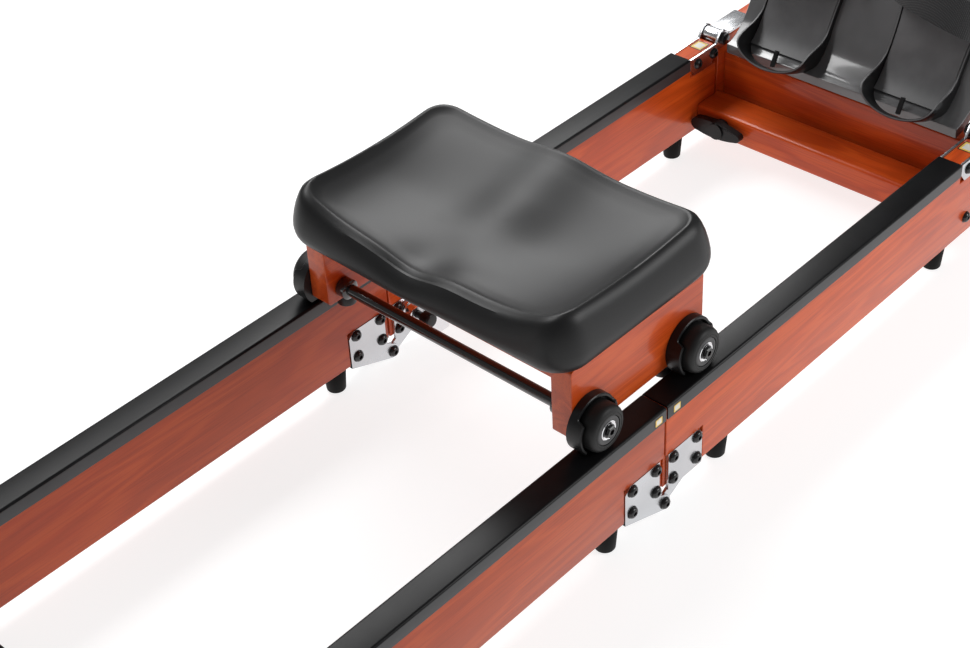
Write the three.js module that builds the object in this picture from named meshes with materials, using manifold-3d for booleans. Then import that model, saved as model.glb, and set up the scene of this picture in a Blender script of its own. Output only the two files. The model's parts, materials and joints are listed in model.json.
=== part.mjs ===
// Folding wooden water rower, in millimetres, +Z up, +X towards the tank, +Y to the left.
// Three sections in a Z fold: the front frame with the tank, the front rail and the rear rail.
// Every x below is counted from the joint between the two rails; the group is shifted at the end
// so that the origin is under the middle of the whole machine.

import * as THREE from 'three';
import { mergeVertices } from 'three/addons/utils/BufferGeometryUtils.js';
import Module from 'manifold-3d';

const wasm = await Module();
wasm.setup();

// ---------------------------------------------------------------- driving dimensions
const GAP = 0.3; // between pieces that touch
const RAIL_OUT = 188.5; // half the width over the rails
const RAIL_IN = 162; // half the width between the rails
const RAIL_TOP = 127; // running surface above the floor
const RAIL_BOTTOM = 27;
const STRIP_SKIN = 2; // rubber over the wood
const STRIP_LIP = 15; // how far the strip hangs down each side
const STRIP_PROUD = 1.3; // thickness of the lip beside the wood
const WOOD_TOP = RAIL_TOP - STRIP_SKIN - GAP;
const RAIL_GAP = 1; // half the gap at the joint between the rails
const REAR_END = -545;
const RAIL_FRONT = 543;
const STRIP_FRONT = 492.5;

const MID_PIVOT = { x: 0, z: 11 }; // hinge under the rails
const FRONT_PIVOT = { x: 556, z: 127 }; // hinge level with the rails' top
const PLATE = 3; // hinge plate thickness
const PLATE_TOP = 67;
const PLATE_BOTTOM = 23.4;
const POCKET = PLATE + GAP; // how deep the plates are let into the wood
const STUD_R = 4;
const LUG_R = 8; // plate round the pivot stud
const YOKE = { x: 495, low: 102, lug: 10 }; // plates of the front hinge
const REAR_FOOT_X = -69.5;
const FRONT_FEET = [['mid', 94.5], ['front', 480]];

const BEAM_REAR = 547;
const BEAM_FRONT = 1404;
const WHEELSET_X = 1436;
const TRANSPORT_R = 26;
const TRANSPORT_Z = 31;
const FRONT_END = WHEELSET_X + TRANSPORT_R;
const CENTRE_X = (FRONT_END + REAR_END) / 2;

const WHEEL_X = [-76, 60];
const WHEEL_Z = 150;
const WHEEL_R = WHEEL_Z - RAIL_TOP - GAP;
const AXLE_R = 6;
const SIDE_IN = 139; // carriage side plates
const SIDE_OUT = 162;
const SIDE_X = [-95, 86];
const SIDE_Z = [136, 212.7];
const SEAT = { x: [-117, 106], half: 172, z: [213, 271] };

const LOCK = { x: 24, z: 52, barrel: 146 }; // sprung pin at the joint, left side
const CROSSBEAM_X = [510, 553];
const CROSSBEAM_Z = [RAIL_BOTTOM, 60];
const WING = { y: 125, z: 44 }; // screw through the crossbeam

const BOARD_ANGLE = 62 * Math.PI / 180; // footboard incline
const BOARD_FOOT = { x: 569, z: 127 }; // where the face would meet the top of the beams
const BOARD_LENGTH = 332;
const BOARD_THICK = 12;
const BOARD_HALF = 150;
const CRADLE_Y = 82;
const HEEL_WALL = 42; // height of the cradle round the heel
const SOLE_FLOOR = 5;
const TOE_WALL = 8;
const FOOT_STRAP = { low: 88, width: 50, reach: 53.5, rise: 58, thick: 2.5 };

const TANK_X = 1135;
const TANK_R = 234;
const TANK_BOTTOM = RAIL_TOP + GAP;
const TANK_SEAM = 215;
const TANK_TOP = 308;
const BLADE_Z = [158, 252];
const TANK_WALL = 4;
const DRUM_Z = [355, 395];
const DRUM_R = 45;
const STRAP_Z = [360, 390];
const HANDLE = { x: 650, z: 375, half: 225 };
const DECK_Z = [417, 435];
const SHAFT_R = 8;
const MONITOR_PIVOT = { x: 722, z: DECK_Z[1] + 12 };
const TRANSPORT_AXLE_R = 5;

// ---------------------------------------------------------------- materials
const finish = (color, roughness, metalness) =>
  new THREE.MeshStandardMaterial({ color, roughness, metalness });
const wood = finish(0xa8431f, 0.3, 0);
const rubber = finish(0x1c1c1d, 0.75, 0);
const stripRubber = finish(0x26272a, 0.6, 0);
const steel = finish(0xc9ccd0, 0.25, 1);
const blackSteel = finish(0x151516, 0.3, 0.6);
const blackPlastic = finish(0x161617, 0.45, 0);
const seatFoam = finish(0x202123, 0.5, 0);
const webbing = finish(0x131314, 0.85, 0);
const boardGloss = finish(0x2b2c2e, 0.15, 0);
const clearShell = finish(0xbfd0d6, 0.1, 0);
const paddle = finish(0x35506b, 0.4, 0);

// ---------------------------------------------------------------- solids
const group = new THREE.Group();

function solid(geometry) {
  const plain = geometry.index ? geometry.toNonIndexed() : geometry.clone();
  plain.deleteAttribute('normal');
  plain.deleteAttribute('uv');
  const merged = mergeVertices(plain, 1e-4);
  return new wasm.Manifold(new wasm.Mesh({
    numProp: 3,
    vertProperties: Float32Array.from(merged.attributes.position.array),
    triVerts: Uint32Array.from(merged.index.array),
  }));
}

function geometryOf(body) {
  const mesh = body.getMesh();
  const geometry = new THREE.BufferGeometry();
  geometry.setAttribute('position', new THREE.BufferAttribute(mesh.vertProperties, 3));
  geometry.setIndex(new THREE.BufferAttribute(mesh.triVerts, 1));
  return geometry;
}

const join = (first, ...rest) =>
  geometryOf(rest.reduce((sum, piece) => sum.add(solid(piece)), solid(first)));
const cut = (first, ...rest) =>
  geometryOf(rest.reduce((left, piece) => left.subtract(solid(piece)), solid(first)));

function add(name, geometry, material) {
  const mesh = new THREE.Mesh(geometry, material);
  mesh.name = name;
  group.add(mesh);
}

function box([x0, x1], [y0, y1], [z0, z1]) {
  const geometry = new THREE.BoxGeometry(x1 - x0, y1 - y0, z1 - z0);
  return geometry.translate((x0 + x1) / 2, (y0 + y1) / 2, (z0 + z1) / 2);
}

const AXES = {
  x: new THREE.Matrix4().makeBasis(
    new THREE.Vector3(0, 1, 0), new THREE.Vector3(0, 0, 1), new THREE.Vector3(1, 0, 0)),
  y: new THREE.Matrix4().makeBasis(
    new THREE.Vector3(1, 0, 0), new THREE.Vector3(0, 0, 1), new THREE.Vector3(0, -1, 0)),
  z: new THREE.Matrix4(),
};

// A flat outline pulled along an axis: outline in (y, z) along x, (x, z) along y, (x, y) along z.
function prism(axis, shape, low, high, curveSegments = 8) {
  const geometry = new THREE.ExtrudeGeometry(
    shape, { depth: high - low, bevelEnabled: false, curveSegments });
  geometry.applyMatrix4(AXES[axis]);
  const start = axis === 'y' ? high : low;
  return geometry.translate(
    axis === 'x' ? start : 0, axis === 'y' ? start : 0, axis === 'z' ? start : 0);
}

function polygon(points) {
  return new THREE.Shape(points.map(([a, b]) => new THREE.Vector2(a, b)));
}

function roundedRect(a0, a1, b0, b1, r) {
  const shape = new THREE.Shape();
  shape.absarc(a1 - r, b1 - r, r, 0, Math.PI / 2);
  shape.absarc(a0 + r, b1 - r, r, Math.PI / 2, Math.PI);
  shape.absarc(a0 + r, b0 + r, r, Math.PI, 1.5 * Math.PI);
  shape.absarc(a1 - r, b0 + r, r, 1.5 * Math.PI, 2 * Math.PI);
  return shape;
}

// A turned piece: profile of [radius, distance along the axis], closed on the axis or on itself.
function turned(axis, profile, centre, segments = 24) {
  const points = profile.map(([r, h]) => new THREE.Vector2(r, h));
  const geometry = new THREE.LatheGeometry(points, segments);
  if (axis === 'x') geometry.rotateZ(-Math.PI / 2);
  if (axis === 'z') geometry.rotateX(Math.PI / 2);
  return geometry.translate(...centre);
}

const rod = (axis, r, low, high, centre, segments = 16) =>
  turned(axis, [[0, low], [r, low], [r, high], [0, high]], centre, segments);
const tube = (axis, inner, outer, low, high, centre, segments = 24) =>
  turned(axis, [[inner, low], [outer, low], [outer, high], [inner, high], [inner, low]], centre,
    segments);

// The two sides of the machine: [name, side], where side is the sign of y.
const SIDES = [['left', 1], ['right', -1]];
const span = (side, inner, outer) => (side > 0 ? [inner, outer] : [-outer, -inner]);

// A prism or turned piece between two distances from the middle, on one side of the machine.
function sidePrism(side, shape, inner, outer, curveSegments) {
  return prism('y', shape, ...span(side, inner, outer), curveSegments);
}

function sideRod(side, r, inner, outer, x, z, segments = 12) {
  return rod('y', r, ...span(side, inner, outer), [x, 0, z], segments);
}

// ---------------------------------------------------------------- rails and running strips
// Each pocket is [x range, z range]: it is cut into both faces of the rail, for a hinge plate.
function makeRail(name, side, x0, x1, pockets) {
  const body = prism(
    'x', roundedRect(...span(side, RAIL_IN, RAIL_OUT), RAIL_BOTTOM, WOOD_TOP, 1.5), x0, x1, 2);
  const cuts = pockets.flatMap(([along, heights]) => [
    box(along, span(side, RAIL_OUT - POCKET, RAIL_OUT + 1), heights),
    box(along, span(side, RAIL_IN - 1, RAIL_IN + POCKET), heights),
  ]);
  add(name, cut(body, ...cuts), wood);
}

function makeStrip(name, side, x0, x1) {
  const [y0, y1] = span(side, RAIL_IN - STRIP_PROUD - GAP, RAIL_OUT + STRIP_PROUD + GAP);
  const shape = new THREE.Shape();
  const round = 3;
  const low = RAIL_TOP - STRIP_LIP;
  shape.moveTo(y0, low);
  shape.lineTo(y0 + STRIP_PROUD, low);
  shape.lineTo(y0 + STRIP_PROUD, RAIL_TOP - STRIP_SKIN);
  shape.lineTo(y1 - STRIP_PROUD, RAIL_TOP - STRIP_SKIN);
  shape.lineTo(y1 - STRIP_PROUD, low);
  shape.lineTo(y1, low);
  shape.absarc(y1 - round, RAIL_TOP - round, round, 0, Math.PI / 2);
  shape.absarc(y0 + round, RAIL_TOP - round, round, Math.PI / 2, Math.PI);
  add(name, prism('x', shape, x0, x1, 4), stripRubber);
}

function makeFoot(name, side, x) {
  const height = RAIL_BOTTOM - GAP;
  const y = side * (RAIL_IN + RAIL_OUT) / 2;
  const profile = [[0, 0], [9, 0], [10, 1.5], [12, height], [0, height]];
  add(name, turned('z', profile, [x, y, 0], 20), rubber);
}

// ---------------------------------------------------------------- hinge between the rails
// The rear bracket wraps under its rail and carries the pivot stud.
function makeRearBracket(name, side) {
  const { x, z } = MID_PIVOT;
  const shape = new THREE.Shape();
  shape.moveTo(-57, PLATE_BOTTOM);
  shape.lineTo(-4, z - LUG_R + 1);
  shape.absarc(x, z, LUG_R, -1.9, 1.1);
  shape.lineTo(-8, PLATE_BOTTOM + 2);
  shape.lineTo(-8, PLATE_TOP);
  shape.lineTo(-50, PLATE_TOP);
  shape.lineTo(-57, PLATE_TOP - 7);
  const outer = sidePrism(side, shape, RAIL_OUT - PLATE + GAP, RAIL_OUT + GAP, 10);
  const inner = sidePrism(side, shape, RAIL_IN - GAP, RAIL_IN + PLATE - GAP, 10);
  const web = box([-57, -14], span(side, RAIL_IN, RAIL_OUT), [PLATE_BOTTOM, RAIL_BOTTOM - GAP]);
  const stud = sideRod(side, STUD_R, RAIL_IN, RAIL_OUT, x, z);
  add(name, join(outer, inner, web, stud), steel);
}

// The front bracket's ears hang inside the rear bracket's, round the stud.
function makeFrontBracket(name, side, withLock) {
  const { x, z } = MID_PIVOT;
  const shape = polygon([
    [5, PLATE_BOTTOM], [55, PLATE_BOTTOM], [55, PLATE_TOP - 7], [48, PLATE_TOP], [5, PLATE_TOP],
  ]);
  const outer = sidePrism(side, shape, RAIL_OUT - PLATE + GAP, RAIL_OUT + GAP);
  const inner = sidePrism(side, shape, RAIL_IN - GAP, RAIL_IN + PLATE - GAP);
  const web = box([14, 55], span(side, RAIL_IN, RAIL_OUT), [PLATE_BOTTOM, RAIL_BOTTOM - GAP]);
  const ear = new THREE.Shape();
  ear.moveTo(44, PLATE_BOTTOM + 1);
  ear.lineTo(14, PLATE_BOTTOM + 1);
  ear.absarc(x, z, LUG_R - 0.5, 1.1, 5.2);
  const ears = [
    sidePrism(side, ear, RAIL_OUT - 2 * PLATE, RAIL_OUT - PLATE, 10),
    sidePrism(side, ear, RAIL_IN + PLATE, RAIL_IN + 2 * PLATE, 10),
  ];
  const bore = sideRod(side, STUD_R + GAP, RAIL_IN, RAIL_OUT, x, z);
  let bracket = join(outer, inner, web, ...ears);
  let holes = [bore];
  if (withLock) {
    bracket = join(bracket, sideRod(side, 9, LOCK.barrel, RAIL_IN, LOCK.x, LOCK.z));
    holes = [bore, sideRod(side, STUD_R + GAP, LOCK.barrel - 1, RAIL_IN + PLATE, LOCK.x, LOCK.z)];
  }
  add(name, cut(bracket, ...holes), steel);
}

// ---------------------------------------------------------------- hinge lock and wing screw
function makeLockPin() {
  const profile = [
    [0, 126], [7, 126], [8.5, 128], [8.5, 137], [STUD_R, 138], [STUD_R, 163], [0, 163],
  ];
  add('hinge_lock_pin', turned('y', profile, [LOCK.x, 0, LOCK.z], 16), blackPlastic);
}

function makeCrossbeam() {
  const beam = prism('y', roundedRect(...CROSSBEAM_X, ...CROSSBEAM_Z, 4),
    -RAIL_IN + GAP, RAIL_IN - GAP, 4);
  const hole = rod('x', STUD_R + GAP, CROSSBEAM_X[0] - 1, CROSSBEAM_X[1] + 1, [0, WING.y, WING.z]);
  add('front_rail_crossbeam', cut(beam, hole), wood);
}

function makeWingScrew() {
  const shape = new THREE.Shape();
  shape.moveTo(WING.y - 30, WING.z + 3);
  shape.absarc(WING.y - 28, WING.z, 5, 2, 4.4);
  shape.quadraticCurveTo(WING.y, WING.z - 14, WING.y + 26, WING.z - 8);
  shape.absarc(WING.y + 27, WING.z, 8, -1.4, 1.4);
  shape.quadraticCurveTo(WING.y, WING.z + 14, WING.y - 30, WING.z + 4.5);
  const wings = prism('x', shape, 496, 505, 6);
  const hub = rod('x', 10, 494, CROSSBEAM_X[0] - GAP, [0, WING.y, WING.z]);
  const stud = rod('x', STUD_R, 500, 549, [0, WING.y, WING.z]);
  add('wing_screw', join(wings, hub, stud), blackPlastic);
}

// ---------------------------------------------------------------- hinge at the front frame
// The yoke is two plates let into the rail, with the hinge pin pressed between their lugs.
function makeYoke(name, side) {
  const { x, z } = FRONT_PIVOT;
  const arm = z - YOKE.lug;
  const shape = new THREE.Shape();
  shape.moveTo(YOKE.x, WOOD_TOP);
  shape.lineTo(YOKE.x, YOKE.low + 10);
  shape.lineTo(YOKE.x + 8, YOKE.low);
  shape.lineTo(x - 22, YOKE.low);
  shape.lineTo(x - 15, arm);
  shape.absarc(x, z, YOKE.lug, -Math.PI / 2, 2.2);
  shape.lineTo(x - 13, WOOD_TOP);
  const outer = sidePrism(side, shape, RAIL_OUT - PLATE + GAP, RAIL_OUT + GAP, 10);
  const inner = sidePrism(side, shape, RAIL_IN - GAP, RAIL_IN + PLATE - GAP, 10);
  const pin = sideRod(side, STUD_R, RAIL_IN, RAIL_OUT, x, z);
  add(name, join(outer, inner, pin), steel);
}

// The leaf lies on the beam, and its knuckle turns on the pin between the yoke's plates.
function makeFrameLeaf(name, side) {
  const { x, z } = FRONT_PIVOT;
  const top = RAIL_TOP + GAP + PLATE;
  const shape = new THREE.Shape();
  shape.moveTo(x + 5, RAIL_TOP + GAP);
  shape.lineTo(x + 14, RAIL_TOP + GAP);
  shape.lineTo(x + 14, top);
  shape.lineTo(x + 5, top);
  shape.absarc(x, z, YOKE.lug - 1.5, 0.5, 5.6);
  const knuckle = sidePrism(side, shape, RAIL_IN + POCKET, RAIL_OUT - POCKET, 12);
  const plate = box([x + 12, 614], span(side, RAIL_IN + GAP, RAIL_OUT - GAP), [RAIL_TOP + GAP, top]);
  const bore = sideRod(side, STUD_R + GAP, RAIL_IN - 1, RAIL_OUT + 1, x, z);
  add(name, cut(join(knuckle, plate), bore), steel);
}

// ---------------------------------------------------------------- seat carriage
function makeSide(name, side) {
  const plate = sidePrism(side, roundedRect(...SIDE_X, ...SIDE_Z, 4), SIDE_IN, SIDE_OUT, 4);
  const bores = WHEEL_X.map(
    (x) => sideRod(side, AXLE_R + GAP, SIDE_IN - 1, SIDE_OUT + 1, x, WHEEL_Z));
  add(name, cut(plate, ...bores), wood);
}

function makeAxle(name, x) {
  const end = 187.5;
  const collar = [128, SIDE_IN - GAP];
  const profile = [
    [0, -end], [AXLE_R, -end], [AXLE_R, -collar[1]], [10, -collar[1]], [10, -collar[0]],
    [AXLE_R, -collar[0]], [AXLE_R, collar[0]], [10, collar[0]], [10, collar[1]],
    [AXLE_R, collar[1]], [AXLE_R, end], [0, end],
  ];
  add(name, turned('y', profile, [x, 0, WHEEL_Z], 16), blackSteel);
}

function makeWheel(name, side, x) {
  const r = WHEEL_R;
  const bore = AXLE_R + GAP;
  const face = 187;
  const back = 167;
  const profile = [
    [bore, back], [r - 2, back], [r, back + 2], [r, face - 4], [r - 4, face], [13.5, face],
    [12.5, face - 1.5], [bore, face - 1.5], [bore, back],
  ].map(([radius, y]) => [radius, side * y]);
  const ordered = side > 0 ? profile : profile.reverse();
  add(name, turned('y', ordered, [x, 0, WHEEL_Z], 24), rubber);
}

// A moulded cover: a back plate, a thin rim round the top and a deeper shield fore and aft.
function makeFender(name, side, x) {
  const outerR = 28;
  const innerR = WHEEL_R + 1.5;
  const low = RAIL_TOP + 4;
  const arch = (r) => {
    const drop = Math.asin((WHEEL_Z - low) / r);
    const shape = new THREE.Shape();
    shape.absarc(x, WHEEL_Z, r, -drop, Math.PI + drop);
    return shape;
  };
  const backPlate = sidePrism(side, arch(outerR), SIDE_OUT + GAP, 166.4, 12);
  const rim = cutShell(side, x, arch(outerR), innerR, 166, 171);
  const shield = cutShell(side, x, arch(outerR), innerR, 166, 180);
  const lowHalf = box([x - 40, x + 40], span(side, 160, 190), [low - 1, WHEEL_Z + 8]);
  const shieldLow = geometryOf(solid(shield).intersect(solid(lowHalf)));
  const bore = sideRod(side, AXLE_R + GAP, 160, 190, x, WHEEL_Z);
  add(name, cut(join(backPlate, rim, shieldLow), bore), blackPlastic);
}

function cutShell(side, x, shape, innerR, inner, outer) {
  const block = sidePrism(side, shape, inner, outer, 12);
  return cut(block, sideRod(side, innerR, inner - 1, outer + 1, x, WHEEL_Z, 20));
}

function makeSeat() {
  const baseX = [-90, 80];
  const edge = SIDE_IN - GAP;
  const base = prism('z', roundedRect(...baseX, -edge, edge, 3), SIDE_Z[1] - 22.7, SIDE_Z[1], 4);
  add('seat_base', base, wood);
  const outline = roundedRect(...SEAT.x, -SEAT.half, SEAT.half, 34);
  add('seat_pad', prism('z', outline, ...SEAT.z, 6), seatFoam);
}

// ---------------------------------------------------------------- front frame
// The beam is notched round the hinge's lugs and knuckle.
function makeBeam(name, side) {
  const { x, z } = FRONT_PIVOT;
  const clear = YOKE.lug + 1;
  const shape = roundedRect(...span(side, RAIL_IN, RAIL_OUT), RAIL_BOTTOM, RAIL_TOP, 1.5);
  const round = sideRod(side, clear, RAIL_IN - 1, RAIL_OUT + 1, x, z, 24);
  const back = box([BEAM_REAR - 1, x], span(side, RAIL_IN - 1, RAIL_OUT + 1), [z - clear, z + 5]);
  add(name, cut(prism('x', shape, BEAM_REAR, BEAM_FRONT, 2), round, back), wood);
}

function makeHeelBoard() {
  const outline = roundedRect(560, 585, RAIL_BOTTOM, RAIL_TOP - 20, 2);
  add('heel_board', prism('y', outline, -RAIL_IN + GAP, RAIL_IN - GAP, 2), wood);
}

// The nose board fills the space between the beams and narrows above them to the deck's width.
function makeNoseBoard() {
  const half = RAIL_IN - GAP;
  const top = DECK_Z[0] - GAP;
  const shape = new THREE.Shape();
  shape.moveTo(-half, RAIL_BOTTOM);
  shape.lineTo(half, RAIL_BOTTOM);
  shape.lineTo(half, RAIL_TOP + 20);
  shape.bezierCurveTo(half, 250, 92, 260, 92, top);
  shape.lineTo(-92, top);
  shape.bezierCurveTo(-92, 260, -half, 250, -half, RAIL_TOP + 20);
  add('nose_board', prism('x', shape, 1382, BEAM_FRONT, 10), wood);
}

const floorBar = (x0, x1) =>
  prism('y', roundedRect(x0, x1, 0, RAIL_BOTTOM - GAP, 4), -RAIL_OUT, RAIL_OUT, 2);

// The bar under the nose has two ears that hold the transport wheels' axle.
function makeNoseBar() {
  const ear = roundedRect(1390, WHEELSET_X + 12, TRANSPORT_Z - 14, TRANSPORT_Z + 10, 7);
  const ears = SIDES.map(([, side]) => sidePrism(side, ear, 70, 76, 3));
  const clear = box([1380, BEAM_FRONT + 1], [-100, 100], [RAIL_BOTTOM - GAP, 60]);
  const bore = rod('y', TRANSPORT_AXLE_R + GAP, -80, 80, [WHEELSET_X, 0, TRANSPORT_Z], 12);
  add('nose_foot_bar', cut(join(floorBar(1364, BEAM_FRONT), ...ears), clear, bore), blackSteel);
}

function makeTransportWheels() {
  const r = TRANSPORT_R;
  const axle = TRANSPORT_AXLE_R;
  const profile = [
    [0, -122], [r - 3, -122], [r, -119], [r, -101], [r - 3, -98], [axle, -98],
    [axle, 98], [r - 3, 98], [r, 101], [r, 119], [r - 3, 122], [0, 122],
  ];
  add('transport_wheels', turned('y', profile, [WHEELSET_X, 0, TRANSPORT_Z], 16), rubber);
}

// Directions on the footboard: along it, upwards, and out of its face towards the seat.
const UP = new THREE.Vector3(Math.cos(BOARD_ANGLE), 0, Math.sin(BOARD_ANGLE));
const OUT = new THREE.Vector3(-Math.sin(BOARD_ANGLE), 0, Math.cos(BOARD_ANGLE));
const ON_BOARD = new THREE.Matrix4()
  .makeBasis(UP, new THREE.Vector3(0, 1, 0), OUT)
  .setPosition(BOARD_FOOT.x, 0, BOARD_FOOT.z);

// The face curls forward at its foot into a lip over the heel board.
function makeFootboard() {
  const shape = new THREE.Shape();
  shape.moveTo(-10, 20);
  shape.quadraticCurveTo(4, 1, 34, 0);
  shape.lineTo(BOARD_LENGTH, 0);
  shape.lineTo(BOARD_LENGTH, -BOARD_THICK);
  shape.lineTo(30, -BOARD_THICK);
  shape.quadraticCurveTo(-6, -BOARD_THICK, -20, 14);
  const board = new THREE.ExtrudeGeometry(
    shape, { depth: 2 * BOARD_HALF, bevelEnabled: false, curveSegments: 8 });
  board.translate(0, 0, -BOARD_HALF);
  const turn = new THREE.Matrix4().makeBasis(UP, OUT, new THREE.Vector3(0, -1, 0));
  board.applyMatrix4(turn.setPosition(BOARD_FOOT.x, 0, BOARD_FOOT.z));
  const window = box([640, 740], [-20, 20], [STRAP_Z[0] - 5, STRAP_Z[1] + 5]);
  const top = box([600, 800], [-160, 160], [DECK_Z[0] - GAP, 500]);
  add('footboard', cut(board, window, top), boardGloss);
}

// Sole outline in (up the board, across): a blunt heel, then straight sides and a wider toe.
function soleShape(grow) {
  const shape = new THREE.Shape();
  const heel = 43 + grow;
  const toe = 50 + grow;
  const end = 235 + grow;
  shape.moveTo(100, heel + 2);
  shape.quadraticCurveTo(70, heel - 1, 40, heel - 0.5);
  shape.lineTo(5, heel);
  shape.absellipse(5, 0, 23 + grow, heel, Math.PI / 2, 1.5 * Math.PI);
  shape.lineTo(40, 0.5 - heel);
  shape.quadraticCurveTo(70, 1 - heel, 100, -heel - 2);
  shape.quadraticCurveTo(130, -toe, 160, -toe);
  shape.lineTo(190, -toe);
  shape.quadraticCurveTo(end, -toe + 4, end, 0);
  shape.quadraticCurveTo(end, toe - 4, 190, toe);
  shape.lineTo(160, toe);
  shape.quadraticCurveTo(130, toe, 100, heel + 2);
  return shape;
}

// The cradle's wall stands high round the heel and falls away to a low rim.
// Its floor is open under the heel, where the footboard's lip curls up into it.
function makeCradle(name, side) {
  const onBoard = (shape, low, high) => new THREE.ExtrudeGeometry(
    shape, { depth: high - low, bevelEnabled: false, curveSegments: 5 }).translate(0, 0, low);
  const across = (shape) => new THREE.ExtrudeGeometry(
    shape, { depth: 120, bevelEnabled: false, curveSegments: 6 })
    .rotateX(Math.PI / 2).translate(0, 60, 0);
  const full = onBoard(soleShape(3), 0.6, HEEL_WALL);
  const hollow = onBoard(soleShape(0), SOLE_FLOOR, HEEL_WALL + 20);
  const slope = new THREE.Shape();
  slope.moveTo(-30, 100);
  slope.lineTo(-30, HEEL_WALL);
  slope.lineTo(-4, HEEL_WALL);
  slope.bezierCurveTo(16, HEEL_WALL, 20, TOE_WALL, 46, TOE_WALL);
  slope.lineTo(260, TOE_WALL);
  slope.lineTo(260, 100);
  const lip = new THREE.Shape();
  lip.moveTo(-40, -10);
  lip.lineTo(-40, 34);
  lip.lineTo(-11, 21.2);
  lip.quadraticCurveTo(4, 2.2, 34, 0.9);
  lip.lineTo(60, -10);
  const cradle = cut(full, hollow, across(slope), across(lip));
  cradle.translate(0, side * CRADLE_Y, 0).applyMatrix4(ON_BOARD);
  add(name, cradle, blackPlastic);
}

function makeFootStrap(name, side) {
  const { low, width, reach, rise, thick } = FOOT_STRAP;
  const outer = reach + thick;
  const top = rise + 4;
  const shape = new THREE.Shape();
  shape.moveTo(-reach, 2);
  shape.lineTo(-reach, 20);
  shape.bezierCurveTo(-reach, rise, reach, rise, reach, 20);
  shape.lineTo(reach, 2);
  shape.lineTo(outer, 2);
  shape.lineTo(outer, 20);
  shape.bezierCurveTo(outer, top, -outer, top, -outer, 20);
  shape.lineTo(-outer, 2);
  const strap = new THREE.ExtrudeGeometry(
    shape, { depth: width, bevelEnabled: false, curveSegments: 12 });
  strap.applyMatrix4(AXES.x).translate(low, side * CRADLE_Y, 0).applyMatrix4(ON_BOARD);
  add(name, strap, webbing);
}

// ---------------------------------------------------------------- water tank and drive
function makeTank() {
  const w = TANK_WALL;
  const r = TANK_R;
  const flange = r + 9;
  const low = TANK_BOTTOM;
  const arc = (cx, cz, radius, from, to, steps = 3) => Array.from({ length: steps + 1 }, (_, i) => {
    const a = from + (to - from) * i / steps;
    return [cx + radius * Math.cos(a), cz + radius * Math.sin(a)];
  });
  const quarter = Math.PI / 2;
  const lower = [
    [0, low], ...arc(r - 30, low + 30, 30, -quarter, 0), [r, TANK_SEAM - 4],
    [flange, TANK_SEAM - 4], [flange, TANK_SEAM], [r - w, TANK_SEAM],
    ...arc(r - 30, low + 30, 30 - w, 0, -quarter), [0, low + w],
  ];
  add('tank_lower_shell', turned('z', lower, [TANK_X, 0, 0], 32), clearShell);
  const seam = TANK_SEAM + GAP;
  const round = 45;
  const neck = 22;
  const upper = [
    [r - w, seam], [flange, seam], [flange, seam + 4], [r, seam + 4],
    ...arc(r - round, TANK_TOP - round, round, 0, quarter),
    [neck + 6, TANK_TOP], [neck + 6, TANK_TOP + 10], [neck, TANK_TOP + 10],
    [neck, TANK_TOP - w], ...arc(r - round, TANK_TOP - round, round - w, quarter, 0),
    [r - w, seam],
  ];
  add('tank_upper_shell', turned('z', upper, [TANK_X, 0, 0], 32), clearShell);
}

function makeImpeller() {
  const shaft = rod('z', SHAFT_R, TANK_BOTTOM + TANK_WALL + 4, DECK_Z[1] - 5, [TANK_X, 0, 0]);
  const blade = box([-188, 188], [-2, 2], BLADE_Z).translate(TANK_X, 0, 0);
  const across = box([-2, 2], [-188, 188], BLADE_Z).translate(TANK_X, 0, 0);
  const hub = rod('z', 20, BLADE_Z[0] - 6, BLADE_Z[1] + 6, [TANK_X, 0, 0], 20);
  add('impeller', join(shaft, blade, across, hub), paddle);
}

function makeDrum() {
  const bore = SHAFT_R + GAP;
  const [z0, z1] = DRUM_Z;
  const profile = [
    [bore, z0], [62, z0], [62, z0 + 4], [DRUM_R, z0 + 4], [DRUM_R, z1 - 4], [62, z1 - 4],
    [62, z1], [bore, z1], [bore, z0],
  ];
  add('strap_drum', turned('z', profile, [TANK_X, 0, 0], 24), blackPlastic);
}

// Strap on the drum, then straight back through the footboard to the handle.
function makeDriveStrap() {
  const inner = DRUM_R + GAP;
  const outer = inner + 8;
  const coil = tube('z', inner, outer, ...STRAP_Z, [TANK_X, 0, 0], 28);
  const end = HANDLE.x + 19;
  const run = polygon([[TANK_X, outer - 3], [TANK_X, outer], [end, 1.5], [end, -1.5]]);
  add('drive_strap', join(coil, prism('z', run, ...STRAP_Z)), webbing);
}

function makeHandle() {
  const half = HANDLE.half;
  const bar = turned('y', [
    [0, -half], [13, -half], [16, -half + 4], [16, -half + 12], [14, -half + 20], [15.5, -120],
    [13, -45], [13, 45], [15.5, 120], [14, half - 20], [16, half - 12], [16, half - 4],
    [13, half], [0, half],
  ], [HANDLE.x, 0, HANDLE.z], 16);
  const clevis = box([HANDLE.x, HANDLE.x + 18.5], [-9, 9], [HANDLE.z - 14, HANDLE.z + 14]);
  add('handle', join(bar, clevis), blackPlastic);
}

// The deck carries the top bearing of the impeller and two cheeks for the monitor's pin.
function makeDeck() {
  const { x, z } = MONITOR_PIVOT;
  const board = prism('z', roundedRect(694, BEAM_FRONT, -100, 100, 20), ...DECK_Z, 6);
  const bearing = rod('z', SHAFT_R + GAP, DECK_Z[0] - 1, DECK_Z[1] + 1, [TANK_X, 0, 0]);
  const cheek = roundedRect(x - 13, x + 13, DECK_Z[1] - 1, z + 12, 8);
  const cheeks = SIDES.map(([, side]) => sidePrism(side, cheek, 25, 34, 3));
  const pinBore = rod('y', STUD_R + GAP, -40, 40, [x, 0, z]);
  add('top_deck', cut(join(board, ...cheeks), bearing, pinBore), wood);
}

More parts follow.
